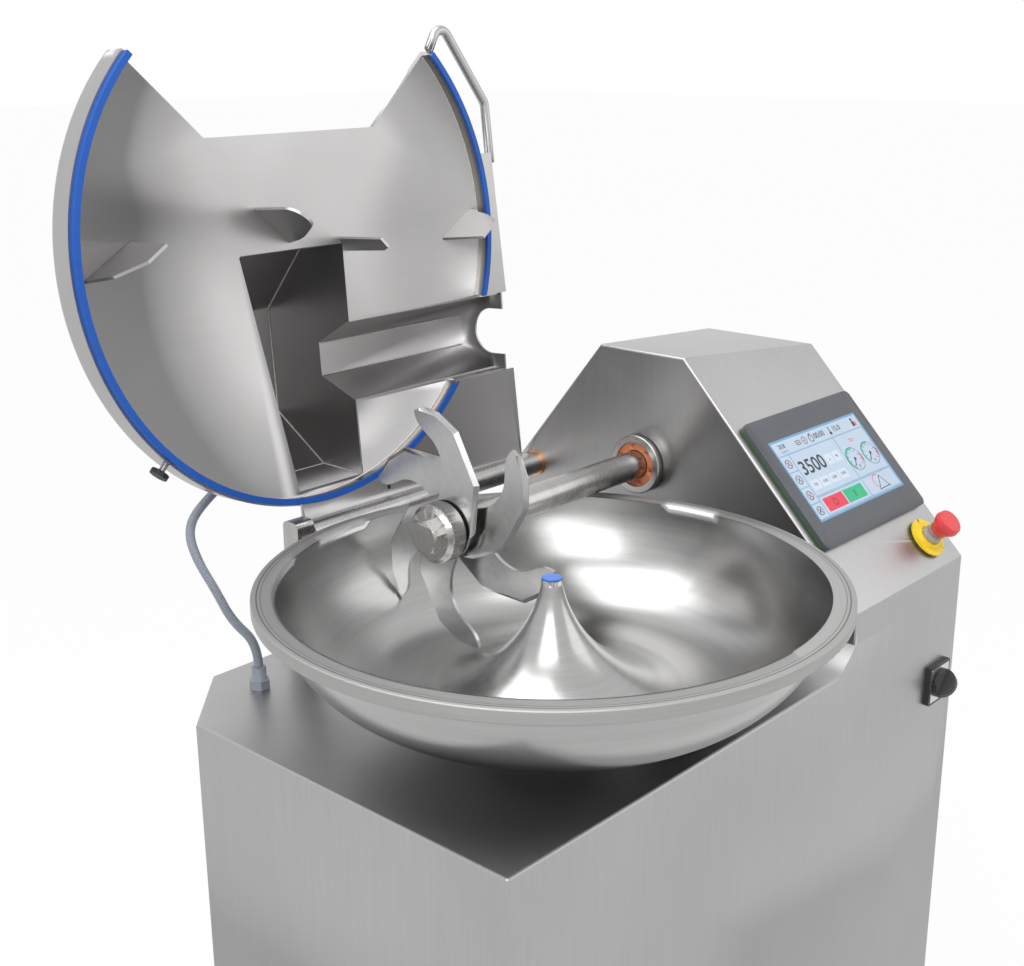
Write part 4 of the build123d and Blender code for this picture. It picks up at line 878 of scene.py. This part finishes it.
# floor, light and camera
floorLook = dict(size=60.0, colour=(0.86, 0.86, 0.86), glow=0.94)
bpy.ops.object.select_all(action="DESELECT")
bpy.ops.mesh.primitive_plane_add(size=floorLook["size"], location=(0, 0, 0))
floor = bpy.context.object
floor.name = "studioFloor"
floorMat, floorTree, floorShader = newMaterial("studioFloor")
floorShader.inputs["Base Color"].default_value = (*floorLook["colour"], 1)
floorShader.inputs["Roughness"].default_value = 0.8
floor.data.materials.append(floorMat)


def seenRay(tree):
    # 1 for what the camera sees straight, in a gloss or through glass
    rays = tree.nodes.new("ShaderNodeLightPath")
    direct = mathNode(tree, "MAXIMUM", rays.outputs["Is Camera Ray"], rays.outputs["Is Transmission Ray"])
    return mathNode(tree, "MAXIMUM", direct, rays.outputs["Is Glossy Ray"])


# the floor keeps a share of its own shading, so the shadow stays on white
glow = floorTree.nodes.new("ShaderNodeEmission")
glow.inputs["Color"].default_value = (1, 1, 1, 1)
glow.inputs["Strength"].default_value = 1.0
glowShare = mathNode(floorTree, "MULTIPLY", seenRay(floorTree), floorLook["glow"])
floorMix = floorTree.nodes.new("ShaderNodeMixShader")
floorOut = [node for node in floorTree.nodes if node.type == "OUTPUT_MATERIAL"][0]
floorTree.links.new(glowShare, floorMix.inputs["Fac"])
floorTree.links.new(floorShader.outputs["BSDF"], floorMix.inputs[1])
floorTree.links.new(glow.outputs[0], floorMix.inputs[2])
floorTree.links.new(floorMix.outputs[0], floorOut.inputs["Surface"])

worldLook = dict(ambient=0.7, backdrop=1.0)
world = bpy.data.worlds.new("studio")
bpy.context.scene.world = world
world.use_nodes = True
worldTree = world.node_tree
worldTree.nodes.clear()
worldOut = worldTree.nodes.new("ShaderNodeOutputWorld")
backdrop = worldTree.nodes.new("ShaderNodeBackground")
backdrop.inputs["Color"].default_value = (1, 1, 1, 1)
backdrop.inputs["Strength"].default_value = worldLook["backdrop"]
ambient = worldTree.nodes.new("ShaderNodeBackground")
ambient.inputs["Color"].default_value = (1, 1, 1, 1)
ambient.inputs["Strength"].default_value = worldLook["ambient"]
mixer = worldTree.nodes.new("ShaderNodeMixShader")
worldTree.links.new(seenRay(worldTree), mixer.inputs["Fac"])
worldTree.links.new(ambient.outputs[0], mixer.inputs[1])
worldTree.links.new(backdrop.outputs[0], mixer.inputs[2])
worldTree.links.new(mixer.outputs[0], worldOut.inputs["Surface"])


def softLamp(name, place, aim, size, power):
    data = bpy.data.lights.new(name, "AREA")
    data.shape = "RECTANGLE"
    data.size, data.size_y = size
    data.energy = power
    lamp = bpy.data.objects.new(name, data)
    bpy.context.collection.objects.link(lamp)
    lamp.location = place
    lamp.rotation_mode = "QUATERNION"
    lamp.rotation_quaternion = (Vector(aim) - Vector(place)).to_track_quat("-Z", "Y")
    return lamp


lampLooks = dict(
    keyLamp=dict(place=(-2.2, -1.2, 3.0), aim=(0, 0, 0.9), size=(2.2, 2.2), power=48),
    sideLamp=dict(place=(2.4, -2.6, 2.4), aim=(0.1, 0, 0.8), size=(2.6, 2.6), power=19),
    topLamp=dict(place=(-0.3, 0.6, 3.2), aim=(-0.1, 0, 0.9), size=(1.8, 1.8), power=30),
)
for lampName, lampLook in lampLooks.items():
    softLamp(lampName, **lampLook)
print("lamps placed:", len(lampLooks))

cameraLook = dict(
    place=(-1.4378, -1.1807, 1.5210),
    azimuth=-47.65,
    elevation=17.09,
    roll=-0.35,
    focalPixels=1462.0,
    frameWidth=1024.0,
)
cameraData = bpy.data.cameras.new("viewCamera")
camera = bpy.data.objects.new("viewCamera", cameraData)
bpy.context.collection.objects.link(camera)
cameraData.sensor_width = 36.0
cameraData.lens = cameraLook["focalPixels"] / cameraLook["frameWidth"] * cameraData.sensor_width
cameraData.clip_start = 0.05
cameraData.clip_end = 60.0
azimuth = math.radians(cameraLook["azimuth"])
elevation = math.radians(cameraLook["elevation"])
roll = math.radians(cameraLook["roll"])
level = math.cos(elevation)
viewBack = Vector((math.sin(azimuth) * level, -math.cos(azimuth) * level, math.sin(elevation)))
viewRight = Vector((0, 0, 1)).cross(viewBack).normalized()
viewUp = viewBack.cross(viewRight)
turnedRight = viewRight * math.cos(roll) + viewUp * math.sin(roll)
turnedUp = viewUp * math.cos(roll) - viewRight * math.sin(roll)
viewTurn = Matrix((turnedRight, turnedUp, viewBack)).transposed().to_4x4()
camera.matrix_world = Matrix.Translation(cameraLook["place"]) @ viewTurn
bpy.context.scene.camera = camera

bpy.context.scene.view_settings.view_transform = "Standard"
bpy.context.view_layer.update()
